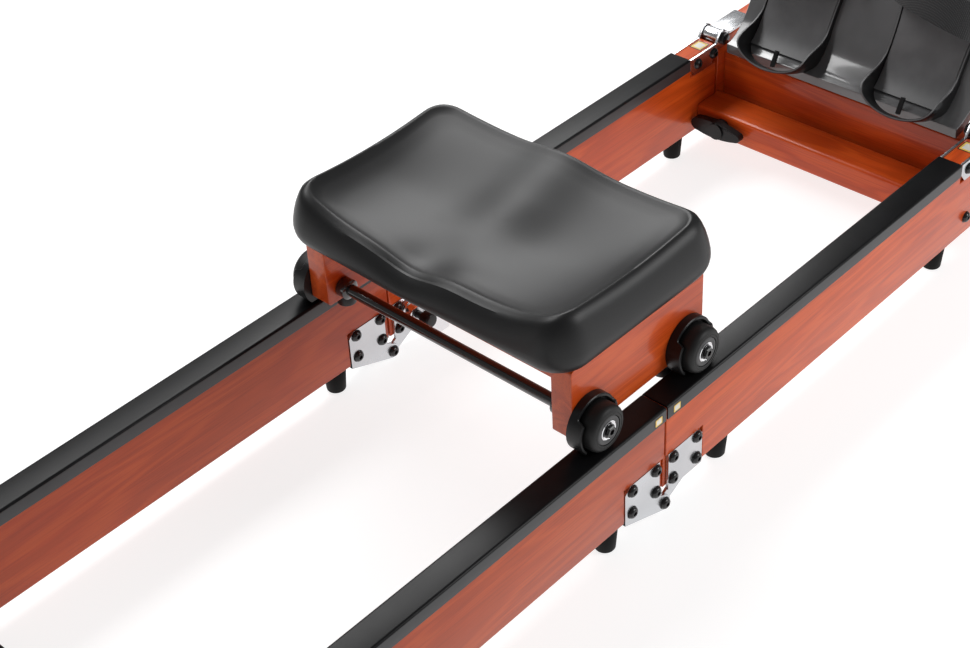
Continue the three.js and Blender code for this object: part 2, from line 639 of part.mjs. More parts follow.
function makeMonitor() {
  const { x, z } = MONITOR_PIVOT;
  const barrel = join(rod('y', 10, -24, 24, [x, 0, z]), rod('y', STUD_R, -33, 33, [x, 0, z]));
  const stalk = box([x - 6, x + 6], [-16, 16], [z, z + 50]);
  const screen = prism('x', roundedRect(-78, 78, z + 38, z + 138, 12), x - 14, x + 12, 5);
  add('monitor', join(barrel, stalk, screen), blackPlastic);
}

// ---------------------------------------------------------------- assembly
const MID_HEIGHTS = [RAIL_BOTTOM - 1, PLATE_TOP + GAP];
const YOKE_POCKET = [[YOKE.x - GAP, RAIL_FRONT + 1], [YOKE.low - GAP, RAIL_TOP]];
for (const [label, side] of SIDES) {
  makeRail(`front_rail_${label}`, side, RAIL_GAP, RAIL_FRONT, [[[0, 56], MID_HEIGHTS], YOKE_POCKET]);
  makeRail(`rear_rail_${label}`, side, REAR_END, -RAIL_GAP, [[[-58, 0], MID_HEIGHTS]]);
  makeStrip(`front_strip_${label}`, side, RAIL_GAP, STRIP_FRONT);
  makeStrip(`rear_strip_${label}`, side, REAR_END, -RAIL_GAP);
  makeFrontBracket(`mid_hinge_front_bracket_${label}`, side, side > 0);
  makeRearBracket(`mid_hinge_rear_bracket_${label}`, side);
  for (const [place, x] of FRONT_FEET) makeFoot(`foot_${place}_${label}`, side, x);
  makeFoot(`foot_rear_${label}`, side, REAR_FOOT_X);
  makeYoke(`front_hinge_yoke_${label}`, side);
  makeFrameLeaf(`front_hinge_leaf_${label}`, side);
  makeBeam(`beam_${label}`, side);
  makeSide(`carriage_side_${label}`, side);
  makeCradle(`foot_cradle_${label}`, side);
  makeFootStrap(`foot_strap_${label}`, side);
  WHEEL_X.forEach((x, i) => {
    const end = i ? 'front' : 'rear';
    makeWheel(`wheel_${end}_${label}`, side, x);
    makeFender(`fender_${end}_${label}`, side, x);
  });
}
WHEEL_X.forEach((x, i) => makeAxle(`axle_${i ? 'front' : 'rear'}`, x));
makeSeat();
makeCrossbeam();
makeLockPin();
makeWingScrew();
makeHeelBoard();
makeNoseBoard();
add('rear_foot_bar', floorBar(REAR_END, REAR_END + 38), rubber);
add('heel_foot_bar', floorBar(588, 626), rubber);
makeNoseBar();
makeTransportWheels();
makeFootboard();
makeTank();
makeImpeller();
makeDrum();
makeDriveStrap();
makeHandle();
makeDeck();
makeMonitor();

group.position.x = -CENTRE_X;
group.updateMatrixWorld(true);

export default group;
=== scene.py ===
"""Looks for a folding wooden water rower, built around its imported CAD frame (Blender 4.5).

Lengths are in metres, in the frame's own axes. The small turned profiles, the footboard's outlines
and names that end in _MM are in mm. Places come from the frame: its boxes, joints and bodies.
"""

import json
import math

import bmesh
import bpy
from mathutils import Matrix, Vector


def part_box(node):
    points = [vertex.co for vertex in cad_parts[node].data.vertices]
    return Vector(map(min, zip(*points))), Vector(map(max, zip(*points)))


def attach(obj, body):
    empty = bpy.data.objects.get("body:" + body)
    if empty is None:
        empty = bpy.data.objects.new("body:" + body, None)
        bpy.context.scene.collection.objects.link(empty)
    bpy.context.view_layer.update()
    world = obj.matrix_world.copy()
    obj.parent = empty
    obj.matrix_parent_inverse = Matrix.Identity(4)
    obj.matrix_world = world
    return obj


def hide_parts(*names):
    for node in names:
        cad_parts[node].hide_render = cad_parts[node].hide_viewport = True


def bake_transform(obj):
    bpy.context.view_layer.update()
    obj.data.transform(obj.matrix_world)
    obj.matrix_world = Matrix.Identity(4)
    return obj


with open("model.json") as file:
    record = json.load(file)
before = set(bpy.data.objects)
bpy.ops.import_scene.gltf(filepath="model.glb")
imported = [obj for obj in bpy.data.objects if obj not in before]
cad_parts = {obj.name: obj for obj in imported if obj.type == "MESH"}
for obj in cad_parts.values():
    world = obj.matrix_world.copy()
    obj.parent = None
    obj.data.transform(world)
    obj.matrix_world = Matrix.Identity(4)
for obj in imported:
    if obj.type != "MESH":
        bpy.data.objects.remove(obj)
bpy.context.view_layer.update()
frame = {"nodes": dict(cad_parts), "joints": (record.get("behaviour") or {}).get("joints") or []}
NODES = frame["nodes"]
JOINTS = {joint["name"]: joint for joint in frame["joints"]}

MM = 0.001
MID = Vector(JOINTS["mid_fold"]["pos_m"])  # pivot under the joint between the rails
FRONT = Vector(JOINTS["front_fold"]["pos_m"])  # pivot at the front frame
SIDES = (("left", 1), ("right", -1))
ENDS = ("rear", "front")
RAIL_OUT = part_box("front_rail_left")[1].y
RAIL_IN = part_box("front_rail_left")[0].y
RAIL_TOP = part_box("front_strip_left")[1].z
RAIL_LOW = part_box("front_rail_left")[0].z
BOARD_UP = Vector(JOINTS["left_footrest_slide"]["axis"])  # along the footboard
BOARD_OUT = Vector((-BOARD_UP.z, 0, BOARD_UP.x))  # out of its face, towards the seat
BOARD_FOOT = Vector((FRONT.x + 13 * MM, 0, RAIL_TOP))
CRADLE_Y = sum(corner.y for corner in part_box("foot_cradle_left")) / 2


# -------------------- outlines
def arc(cx, cy, radius, start, end, steps):
    """Points on a circle between two angles in degrees, both ends included."""
    angles = [math.radians(start + (end - start) * i / steps) for i in range(steps + 1)]
    return [(cx + radius * math.cos(a), cy + radius * math.sin(a)) for a in angles]


def quad(p0, p1, p2, steps):
    """Points on a quadratic curve, without its first point."""
    points = []
    for i in range(1, steps + 1):
        t = i / steps
        s = 1 - t
        points.append(tuple(s * s * a + 2 * s * t * b + t * t * c for a, b, c in zip(p0, p1, p2)))
    return points


def cubic(p0, p1, p2, p3, steps):
    """Points on a cubic curve, both ends included."""
    points = []
    for i in range(steps + 1):
        t = i / steps
        s = 1 - t
        weights = (s ** 3, 3 * s * s * t, 3 * s * t * t, t ** 3)
        points.append(tuple(sum(w * p[k] for w, p in zip(weights, (p0, p1, p2, p3)))
                            for k in range(2)))
    return points


def rounded_rect(a0, a1, b0, b1, radius, steps=6):
    return (arc(a1 - radius, b1 - radius, radius, 0, 90, steps)
            + arc(a0 + radius, b1 - radius, radius, 90, 180, steps)
            + arc(a0 + radius, b0 + radius, radius, 180, 270, steps)
            + arc(a1 - radius, b0 + radius, radius, 270, 360, steps))


def smoothstep(low, high, x):
    t = min(1.0, max(0.0, (x - low) / (high - low)))
    return t * t * (3 - 2 * t)


# -------------------- meshes
SHARP = math.radians(40)
PLACE = {
    "x": lambda a, b, h: Vector((h, a, b)),
    "y": lambda a, b, h: Vector((a, h, b)),
    "z": lambda a, b, h: Vector((a, b, h)),
}


def make_object(name, bm, sharp=SHARP):
    """Turns a bmesh into an object, smooth except at edges sharper than the given angle."""
    bmesh.ops.recalc_face_normals(bm, faces=bm.faces)
    for face in bm.faces:
        face.smooth = True
    for edge in bm.edges:
        edge.smooth = len(edge.link_faces) == 2 and edge.calc_face_angle(0) < sharp
    mesh = bpy.data.meshes.new(name)
    bm.to_mesh(mesh)
    bm.free()
    obj = bpy.data.objects.new(name, mesh)
    bpy.context.scene.collection.objects.link(obj)
    return obj


def show(obj, material, slot, body, *replaced):
    """Gives a piece its material and its body, and hides the CAD nodes that it stands for. The slot is
    not used.
    """
    obj.data.materials.clear()
    obj.data.materials.append(material)
    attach(obj, body)
    if replaced:
        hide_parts(*replaced)
    return obj


def prism(bm, outline, axis, low, high):
    """A closed prism of an outline along an axis."""
    place = PLACE[axis]
    loft(bm, [[bm.verts.new(place(a, b, h)) for a, b in outline] for h in (low, high)])


def skin(bm, rings):
    """Quads between closed rings of equal length."""
    count = len(rings[0])
    for ring, following in zip(rings, rings[1:]):
        for i in range(count):
            j = (i + 1) % count
            bm.faces.new((ring[i], ring[j], following[j], following[i]))


def loft(bm, rings):
    """A closed solid through rings, with a face on its first and its last one."""
    bm.faces.new(rings[0])
    bm.faces.new(rings[-1])
    skin(bm, rings)


def lathe(bm, profile, axis, centre, steps=72):
    """A turned solid: profile of (radius, distance along the axis), on the axis at both ends or
    closed on itself."""
    place = PLACE[axis]
    on_axis = profile[0][0] == 0
    middle = profile[1:-1] if on_axis else profile
    rings = []
    for radius, height in middle:
        rings.append([bm.verts.new(centre + place(radius * math.cos(a), radius * math.sin(a), height))
                      for a in (2 * math.pi * i / steps for i in range(steps))])
    skin(bm, rings if on_axis else rings + rings[:1])
    if on_axis:
        for ring, (_, height) in ((rings[0], profile[0]), (rings[-1], profile[-1])):
            tip = bm.verts.new(centre + place(0, 0, height))
            for i in range(steps):
                bm.faces.new((ring[i], ring[(i + 1) % steps], tip))


def turned(name, profile, axis, centre, steps=72):
    bm = bmesh.new()
    lathe(bm, profile, axis, centre, steps)
    return make_object(name, bm)


def in_mm(profile, side=1):
    """A turning profile given in mm, in metres, facing along side times its axis."""
    return [(radius * MM, side * height * MM) for radius, height in profile]


def mirrored(half):
    """A whole turning profile from the half that ends on the axis."""
    return [(radius, -height) for radius, height in reversed(half)] + half


def across_place(name):
    """Middle of a node that lies across the machine, on its mid-plane, and half its height."""
    low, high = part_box(name)
    return Vector(((low.x + high.x) / 2, 0, (low.z + high.z) / 2)), (high.z - low.z) / 2


def soften(bm, width, segments=2, angle=50):
    """Rounds the edges that are sharper than the given angle, in degrees."""
    limit = math.radians(angle)
    edges = [edge for edge in bm.edges
             if len(edge.link_faces) == 2 and edge.calc_face_angle(0) > limit]
    bmesh.ops.bevel(bm, geom=edges, offset=width, segments=segments, profile=0.6,
                    affect="EDGES", clamp_overlap=True)


def refined(node, width=1.2 * MM, segments=2, angle=50):
    """A copy of a CAD node with clean faces and rounded edges, to stand for it."""
    bm = bmesh.new()
    bm.from_mesh(NODES[node].data)
    bmesh.ops.remove_doubles(bm, verts=bm.verts, dist=0.01 * MM)
    bmesh.ops.dissolve_limit(bm, angle_limit=math.radians(0.5), verts=bm.verts, edges=bm.edges)
    bmesh.ops.recalc_face_normals(bm, faces=bm.faces)
    soften(bm, width, segments, angle)
    return make_object(node + "_shape", bm)


def show_refined(node, material, slot, body, **how):
    return show(refined(node, **how), material, slot, body, node)


# -------------------- materials
def new_material(name):
    material = bpy.data.materials.new(name)
    material.use_nodes = True
    tree = material.node_tree
    return material, tree, tree.nodes["Principled BSDF"]


def plug(tree, socket, value):
    """Puts a value or another node's output into a socket."""
    if isinstance(value, bpy.types.NodeSocket):
        tree.links.new(value, socket)
    else:
        socket.default_value = value


def feed(tree, target, **inputs):
    """Fills the named inputs of a node."""
    for key, value in inputs.items():
        plug(tree, target.inputs[key.replace("_", " ")], value)


def node(tree, kind, settings=None, **inputs):
    """Adds a shader node with its settings and its inputs."""
    made = tree.nodes.new(kind)
    for key, value in (settings or {}).items():
        setattr(made, key, value)
    feed(tree, made, **inputs)
    return made


def calculated(tree, operation, *values):
    """The result of a math node."""
    made = node(tree, "ShaderNodeMath", {"operation": operation})
    for socket, value in zip(made.inputs, values):
        plug(tree, socket, value)
    return made.outputs[0]


def mixed(tree, share, first, second):
    """A colour between two others, nearer the second one as the share grows."""
    made = node(tree, "ShaderNodeMix", {"data_type": "RGBA"})
    for index, value in ((0, share), (6, first), (7, second)):
        plug(tree, made.inputs[index], value)
    return made.outputs[2]


def coordinates(tree, scale=(1, 1, 1), offset=(0, 0, 0)):
    """Object coordinates, scaled along each axis and shifted."""
    place = node(tree, "ShaderNodeTexCoord").outputs["Object"]
    return node(tree, "ShaderNodeMapping", Vector=place, Scale=scale, Location=offset).outputs[0]


def noise(tree, place, scale, detail, **more):
    return node(tree, "ShaderNodeTexNoise", Vector=place, Scale=scale, Detail=detail,
                **more).outputs[0]


def ramp(tree, factor, stops):
    """A colour ramp of (position, colour) stops."""
    made = node(tree, "ShaderNodeValToRGB", Fac=factor)
    band = made.color_ramp
    while len(band.elements) < len(stops):
        band.elements.new(0.5)
    for element, (position, colour) in zip(band.elements, stops):
        element.position = position
        element.color = (*colour, 1)
    return made.outputs["Color"]


def span(tree, value, low, high):
    """Maps 0..1 to low..high."""
    return node(tree, "ShaderNodeMapRange", Value=value, To_Min=low, To_Max=high).outputs[0]


def bump(tree, shader, height, strength, distance):
    made = node(tree, "ShaderNodeBump", Height=height, Strength=strength, Distance=distance)
    feed(tree, shader, Normal=made.outputs[0])


def shade(colour, factor):
    return tuple(min(1.0, channel * factor) for channel in colour)


def surface(name, colour, roughness, grain, relief, spread=0.2, metallic=0.0, coat=0.0,
            coat_roughness=0.1, gloss=0.5):
    """A moulded, cast or painted surface: a fine grain in colour, roughness and height."""
    material, tree, shader = new_material(name)
    place = coordinates(tree)
    fine = noise(tree, place, grain, 4)
    broad = noise(tree, place, grain / 40, 3)
    tones = ((0.3, shade(colour, 1 - spread)), (0.7, shade(colour, 1 + spread)))
    feed(tree, shader, Base_Color=ramp(tree, broad, tones),
         Roughness=span(tree, broad, roughness - 0.05, roughness + 0.05), Metallic=metallic,
         Specular_IOR_Level=gloss, Coat_Weight=coat, Coat_Roughness=coat_roughness)
    bump(tree, shader, fine, 0.5, relief)
    return material


WOOD_DARK = (0.20, 0.016, 0.003)
WOOD_MID = (0.50, 0.055, 0.006)
WOOD_LIGHT = (0.64, 0.095, 0.011)
REAR_PAINTED_SHADE = 0.82  # painted shade: the rear rails are made darker for the shade they lie in under the seat


def wood(name, grain_axis, seed, tone):
    """Stained wood under lacquer, with its grain along one axis."""
    dark, middle, light = (shade(colour, tone) for colour in (WOOD_DARK, WOOD_MID, WOOD_LIGHT))
    material, tree, shader = new_material(name)
    along = [3.0 if axis == grain_axis else 26.0 for axis in "xyz"]
    fine_along = [14.0 if axis == grain_axis else 700.0 for axis in "xyz"]
    shift = (seed * 3.7, seed * 1.9, seed * 5.3)
    figure = noise(tree, coordinates(tree, along, shift), 1.0, 3, Roughness=0.45, Distortion=0.5)
    wave = calculated(tree, "SINE", calculated(tree, "MULTIPLY", figure, 42.0))
    rings = node(tree, "ShaderNodeMapRange", Value=wave, From_Min=-1.0, From_Max=1.0).outputs[0]
    pores = noise(tree, coordinates(tree, fine_along, shift), 1.0, 4, Roughness=0.6)
    cloud = noise(tree, coordinates(tree, (5, 5, 5), shift), 1.0, 2)
    ring_colour = ramp(tree, rings, ((0.0, shade(middle, 0.78)), (0.5, middle),
                                     (1.0, shade(light, 0.95))))
    stain = ramp(tree, cloud, ((0.32, shade(middle, 0.85)), (0.6, light)))
    pore_share = ramp(tree, pores, ((0.34, (0.3, 0.3, 0.3)), (0.5, (0, 0, 0))))
    colour = mixed(tree, pore_share, mixed(tree, 0.5, ring_colour, stain), (*dark, 1))
    feed(tree, shader, Base_Color=colour, Roughness=span(tree, pores, 0.26, 0.40),
         Specular_IOR_Level=0.25, Coat_Weight=0.28, Coat_Roughness=0.08)
    bump(tree, shader, pores, 0.12, 0.1 * MM)
    return material


def webbing(name, axis):
    """Woven strap: ribs along it, crossed by yarns."""
    material, tree, shader = new_material(name)
    place = coordinates(tree)
    along = axis.upper()
    across = next(direction for direction in "XYZ" if direction != along)
    ribs = node(tree, "ShaderNodeTexWave", {"bands_direction": across}, Vector=place, Scale=260.0,
                Distortion=0.6, Detail=1).outputs[1]
    yarns = node(tree, "ShaderNodeTexWave", {"bands_direction": along}, Vector=place, Scale=190.0,
                 Distortion=0.8, Detail=1).outputs[1]
    weave = calculated(tree, "MULTIPLY", ribs, yarns)
    tones = ((0.0, (0.006, 0.006, 0.007)), (0.8, (0.035, 0.035, 0.037)))
    feed(tree, shader, Base_Color=ramp(tree, weave, tones), Roughness=0.75, Sheen_Weight=0.25)
    bump(tree, shader, weave, 0.6, 0.3 * MM)
    return material


def seat_skin(name):
    """Moulded skin of the seat: a tight pebble grain under a satin finish."""
    material, tree, shader = new_material(name)
    place = coordinates(tree)
    pebbles = node(tree, "ShaderNodeTexVoronoi", {"feature": "SMOOTH_F1"}, Vector=place,
                   Scale=950.0).outputs["Distance"]
    wear = noise(tree, place, 9.0, 3)
    tones = ((0.3, (0.008, 0.008, 0.0085)), (0.7, (0.012, 0.012, 0.0125)))
    feed(tree, shader, Base_Color=ramp(tree, wear, tones), Roughness=span(tree, wear, 0.36, 0.44),
         Specular_IOR_Level=0.32)
    bump(tree, shader, pebbles, 0.25, 0.12 * MM)
    return material


def clear_shell(name):
    """Clear moulded polycarbonate with faint flow marks."""
    material, tree, shader = new_material(name)
    flow = noise(tree, coordinates(tree), 6.0, 2)
    tones = ((0.2, (0.80, 0.90, 0.93)), (0.8, (0.90, 0.96, 0.97)))
    feed(tree, shader, Base_Color=ramp(tree, flow, tones), Roughness=span(tree, flow, 0.02, 0.07),
         Transmission_Weight=0.92, IOR=1.45)
    bump(tree, shader, flow, 0.05, 1 * MM)
    return material


STRIP = surface("strip_rubber", (0.005, 0.005, 0.0055), 0.34, 1400, 0.05 * MM, gloss=0.17)
# painted light: a lighter copy of the strip rubber for the strips' sides
STRIP_SIDE_PAINTED_LIGHT = surface("strip_side_painted_light", (0.036, 0.037, 0.039), 0.50, 1400, 0.05 * MM)
FOOT_RUBBER = surface("foot_rubber", (0.004, 0.004, 0.004), 0.62, 1100, 0.08 * MM, gloss=0.15)
TYRE = surface("wheel_rubber", (0.010, 0.010, 0.010), 0.50, 1500, 0.05 * MM, gloss=0.3)
HUB = surface("wheel_hub", (0.045, 0.045, 0.047), 0.45, 1500, 0.03 * MM)
STEEL = surface("bright_steel", (0.60, 0.61, 0.63), 0.26, 900, 0.02 * MM, spread=0.06,
                metallic=1.0)
CHROME = surface("polished_steel", (0.82, 0.82, 0.84), 0.14, 900, 0.01 * MM, spread=0.04,
                 metallic=1.0)
BLACK_STEEL = surface("black_steel", (0.010, 0.010, 0.011), 0.20, 900, 0.01 * MM, coat=0.8,
                      coat_roughness=0.06)
BOLT_BLACK = surface("bolt_black", (0.006, 0.006, 0.0065), 0.25, 1600, 0.02 * MM, coat=0.1)
BLACK_PLASTIC = surface("black_plastic", (0.006, 0.006, 0.0065), 0.36, 1300, 0.05 * MM, gloss=0.3)
CRADLE_PLASTIC = surface("cradle_plastic", (0.008, 0.008, 0.0085), 0.34, 1300, 0.05 * MM,
                         gloss=0.35)
SOLE_PLASTIC = surface("sole_plastic", (0.100, 0.100, 0.103), 0.45, 1100, 0.08 * MM)
BOARD_GLOSS = surface("board_gloss", (0.110, 0.110, 0.113), 0.20, 500, 0.01 * MM, coat=0.6,
                      coat_roughness=0.06)
GRIP = surface("grip", (0.016, 0.016, 0.017), 0.60, 700, 0.25 * MM)
PADDLE = surface("paddle", (0.10, 0.17, 0.28), 0.40, 900, 0.04 * MM)
LABEL_YELLOW = surface("label_yellow", (0.78, 0.52, 0.10), 0.45, 900, 0.01 * MM)
LABEL_PALE = surface("label_pale", (0.70, 0.68, 0.62), 0.45, 900, 0.01 * MM)
LABEL_BLACK = surface("label_black", (0.012, 0.012, 0.012), 0.40, 900, 0.01 * MM)
SCREEN = surface("screen", (0.20, 0.24, 0.20), 0.12, 900, 0.005 * MM, spread=0.05, coat=0.5)
SEAT_SKIN = seat_skin("seat_skin")
CLEAR = clear_shell("clear_shell")


# -------------------- rails and frame boards
def make_boards():
    """Every wooden board, each with grain of its own."""
    seed = 0
    plan = []
    for label, _ in SIDES:
        plan.append((f"front_rail_{label}", "front_rail", "x"))
        plan.append((f"rear_rail_{label}", "rear_rail", "x"))
        plan.append((f"beam_{label}", "front_frame", "x"))
        plan.append((f"carriage_side_{label}", "carriage", "x"))
    plan.append(("front_rail_crossbeam", "front_rail", "y"))
    plan.append(("heel_board", "front_frame", "y"))
    plan.append(("nose_board", "front_frame", "z"))
    plan.append(("top_deck", "front_frame", "x"))
    plan.append(("seat_base", "carriage", "y"))
    for board, body, grain in plan:
        seed += 1
        # the rear rails take the darker tone, painted shade
        tone = REAR_PAINTED_SHADE if body == "rear_rail" else 1.0
        show_refined(board, wood(f"wood_{board}", grain, seed, tone), "wood", body, segments=3)


def make_strips():
    """Running strips: black rubber on top, and a lighter copy of the same rubber down each side,
    painted light.
    """
    for label, _ in SIDES:
        for end in ENDS:
            strip = f"{end}_strip_{label}"
            piece = refined(strip, width=0.5 * MM)
            show(piece, STRIP, "strip_rubber", f"{end}_rail", strip)
            # faces down each side take the lighter copy of the rubber: painted light
            piece.data.materials.append(STRIP_SIDE_PAINTED_LIGHT)
            for face in piece.data.polygons:
                if abs(face.normal.y) > 0.9:
                    face.material_index = 1


def make_floor_parts():
    for bar, body in (("rear_foot_bar", "rear_rail"), ("heel_foot_bar", "front_frame")):
        show_refined(bar, FOOT_RUBBER, "foot_rubber", body, width=1.5 * MM)
    show_refined("nose_foot_bar", BLACK_STEEL, "black_steel", "front_frame", width=1 * MM)
    for label, _ in SIDES:
        for place, body in (("mid", "front_rail"), ("front", "front_rail"), ("rear", "rear_rail")):
            make_foot(f"foot_{place}_{label}", body)


def make_foot(foot, body):
    low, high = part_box(foot)
    centre = Vector(((low.x + high.x) / 2, (low.y + high.y) / 2, 0))
    profile = [(0, 0), (8.4 * MM, 0), (9.4 * MM, 0.4 * MM), (10 * MM, 1.5 * MM),
               (12 * MM, high.z - 0.8 * MM), (11.6 * MM, high.z), (0, high.z)]
    show(turned(foot + "_shape", profile, "z", centre, 48), FOOT_RUBBER, "foot_rubber", body, foot)


# -------------------- bolts
BOLT_R_MM = 5.8
BOLT_HIGH_MM = 4.2


def add_bolt(bm, centre, side):
    """A domed head with a socket in it, on a washer, facing along side times +Y."""
    r, top = BOLT_R_MM, BOLT_HIGH_MM
    washer = [(0, 0), (r * 1.08, 0), (r * 1.12, 0.3), (r * 1.08, 0.7), (0, 0.7)]
    head = [(0, 0.6), (r, 0.6), (r, 1.4), (r * 0.95, 2.4), (r * 0.82, 3.3), (r * 0.62, top - 0.2),
            (r * 0.42, top), (r * 0.38, top - 0.3), (r * 0.34, top - 1.8), (0, top - 2)]
    for profile in (washer, head):
        lathe(bm, in_mm(profile, side), "y", centre, 40)


def make_bolts(name, places, body):
    """A group of bolts on one body: places are (centre, side)."""
    bm = bmesh.new()
    for centre, side in places:
        add_bolt(bm, centre, side)
    show(make_object(name, bm, sharp=math.radians(25)), BOLT_BLACK, "black_steel", body)


BOLT_ROWS = (RAIL_LOW + 7.5 * MM, RAIL_LOW + 33.5 * MM)
PLATE_BOLTS = {"rear": (-47.5 * MM, -13.5 * MM), "front": (11.4 * MM, 46.5 * MM)}


def make_mid_hinge():
    """Plates of the joint between the rails, with their bolts, inside and outside."""
    for label, side in SIDES:
        for end in ENDS:
            bracket = f"mid_hinge_{end}_bracket_{label}"
            show_refined(bracket, STEEL, "bright_steel", f"{end}_rail", width=0.5 * MM, angle=60)
            faces = ((RAIL_OUT + 0.2 * MM, side), (RAIL_IN - 0.2 * MM, -side))
            places = [(Vector((MID.x + dx, side * y, z)), facing)
                      for y, facing in faces for dx in PLATE_BOLTS[end] for z in BOLT_ROWS]
            if end == "rear":
                places += [(Vector((MID.x, side * y, MID.z)), facing) for y, facing in faces]
            make_bolts(f"bolts_{end}_bracket_{label}", places, f"{end}_rail")


def make_lock():
    """Sprung pin with its knob, and the chromed sleeve and catch beside it."""
    show_refined("hinge_lock_pin", BLACK_PLASTIC, "black_plastic", "lock", width=0.8 * MM, angle=35)
    centre, _ = across_place("hinge_lock_pin")
    centre.y = RAIL_IN
    sleeve = [(9.2, -16), (10.6, -15.4), (10.6, -13), (9.6, -12), (9.6, -7), (11.4, -6), (11.4, -1),
              (9.2, -1)]
    show(turned("lock_sleeve", in_mm(sleeve), "y", centre, 64), CHROME, "bright_steel", "front_rail")
    bm = bmesh.new()
    bottom, top = RAIL_LOW - 7 * MM, RAIL_LOW + 23 * MM
    back, front, thick = RAIL_IN - 0.5 * MM, RAIL_IN - 25 * MM, 3 * MM
    catch = [(back, top), (back, top - thick), (front + thick, top - thick),
             (front + thick, bottom), (front, bottom), (front, top)]
    prism(bm, catch, "x", MID.x + 38 * MM, MID.x + 58 * MM)
    soften(bm, 1 * MM, 3)
    show(make_object("lock_catch", bm), CHROME, "bright_steel", "front_rail")


def make_front_hinge():
    """Yokes, pins and leaves where the rails meet the front frame."""
    for label, side in SIDES:
        show_refined(f"front_hinge_yoke_{label}", STEEL, "bright_steel", "front_rail", width=0.5 * MM,
                     angle=60)
        show_refined(f"front_hinge_leaf_{label}", STEEL, "bright_steel", "front_frame", width=0.5 * MM,
                     angle=60)
        outer, inner = RAIL_OUT + 0.3 * MM, RAIL_IN - 0.3 * MM
        places = [(Vector((FRONT.x - dx, side * y, RAIL_TOP - 12 * MM)), facing)
                  for y, facing in ((outer, side), (inner, -side)) for dx in (48 * MM, 18 * MM)]
        places.append((Vector((FRONT.x - 39 * MM, side * RAIL_OUT, RAIL_TOP - 78.5 * MM)), side))
        make_bolts(f"bolts_front_hinge_{label}", places, "front_rail")
        cap = [(0, 0), (6.5, 0), (6.5, 1.6), (5.2, 2.6), (0, 2.8)]
        nut = [(0, 0), (7.2, 0), (7.2, 4.4), (6.2, 5), (0, 5)]
        place = Vector((FRONT.x, side * outer, FRONT.z))
        show(turned(f"hinge_pin_head_{label}", in_mm(cap, side), "y", place, 48), CHROME,
             "bright_steel", "front_rail")
        place = Vector((FRONT.x, side * inner, FRONT.z))
        show(turned(f"hinge_pin_nut_{label}", in_mm(nut, -side), "y", place, 6), BOLT_BLACK,
             "black_steel", "front_rail")


def make_wing():
    show_refined("wing_screw", BLACK_PLASTIC, "black_plastic", "wing", width=2.2 * MM, segments=4)


# -------------------- labels
def add_plate(bm, centre, axes, half_a, half_b, thick, radius):
    """A thin rounded plate: axes are its two directions and its outward normal."""
    a_axis, b_axis, out = axes
    outline = rounded_rect(-half_a, half_a, -half_b, half_b, radius, 4)
    loft(bm, [[bm.verts.new(centre + a_axis * a + b_axis * b + out * h) for a, b in outline]
              for h in (0, thick)])


def make_label(name, centre, axes, half_a, half_b, body):
    """A plain label: a black plate, a yellow border and a pale middle, with no lettering."""
    layers = ((1.0, 0.0, 0.12, LABEL_BLACK), (0.86, 0.12, 0.06, LABEL_YELLOW),
              (0.6, 0.18, 0.06, LABEL_PALE))
    for i, (size, start, thick, material) in enumerate(layers):
        bm = bmesh.new()
        base = centre + axes[2] * start * MM
        add_plate(bm, base, axes, half_a * size, half_b * size, thick * MM, 0.8 * MM)
        show(make_object(f"{name}_{i}", bm), material, "black_plastic", body)


def make_labels():
    forward, left, up = Vector((1, 0, 0)), Vector((0, 1, 0)), Vector((0, 0, 1))
    for label, side in SIDES:
        band = side * (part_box("front_strip_left")[1].y + 0.02 * MM)
        axes = (forward, up, left * side)
        for end, dx in (("rear", -12 * MM), ("front", 14 * MM)):
            centre = Vector((MID.x + dx, band, RAIL_TOP - 8.5 * MM))
            make_label(f"label_{end}_{label}", centre, axes, 5.5 * MM, 4.5 * MM, f"{end}_rail")
        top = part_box("front_rail_left")[1].z + 0.02 * MM
        centre = Vector((FRONT.x - 27.5 * MM, side * (RAIL_IN + RAIL_OUT) / 2, top))
        make_label(f"label_top_{label}", centre, (forward, left, up), 9 * MM, 8 * MM, "front_rail")


# -------------------- seat carriage
SEAT_LOW, SEAT_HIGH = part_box("seat_pad")
SEAT_MID = (SEAT_LOW + SEAT_HIGH) / 2
SEAT_HALF = (SEAT_HIGH - SEAT_LOW) / 2
RIM_IN = (19 * MM, 18 * MM)  # how far the rim stands in from the walls, along and across
DISH_EDGE = (23 * MM, 21.6 * MM)  # the same for the edge of the dished top


def seat_dip(u, v):
    """Depth of the seat's top below its corners: u is -1 at the back and 1 at the front,
    v is -1 on the right and 1 on the left."""
    across = 1 - min(1.0, abs(v)) ** 3.5
    along = 1.0 - 0.72 * smoothstep(-0.15, 1.0, u) + 0.18 * (1 - u * u)
    dish = 22.5 * across * along
    notch = 8.5 * math.exp(-((v - 0.10) / 0.22) ** 2) * (1 - smoothstep(-1.0, -0.30, u))
    ridge = 7.0 * math.exp(-(v / 0.26) ** 2) * math.exp(-((u - 0.25) / 0.55) ** 2)
    knob = 2.0 * math.exp(-((v + 0.20) / 0.16) ** 2 - ((u + 0.85) / 0.22) ** 2)
    crest = 5.0 * math.exp(-(v / 0.24) ** 2) * smoothstep(0.4, 1.0, u)
    sides = 6.0 * (1 - u * u) * abs(v) ** 3.5
    return (dish + notch + sides - ridge - knob - crest) * MM


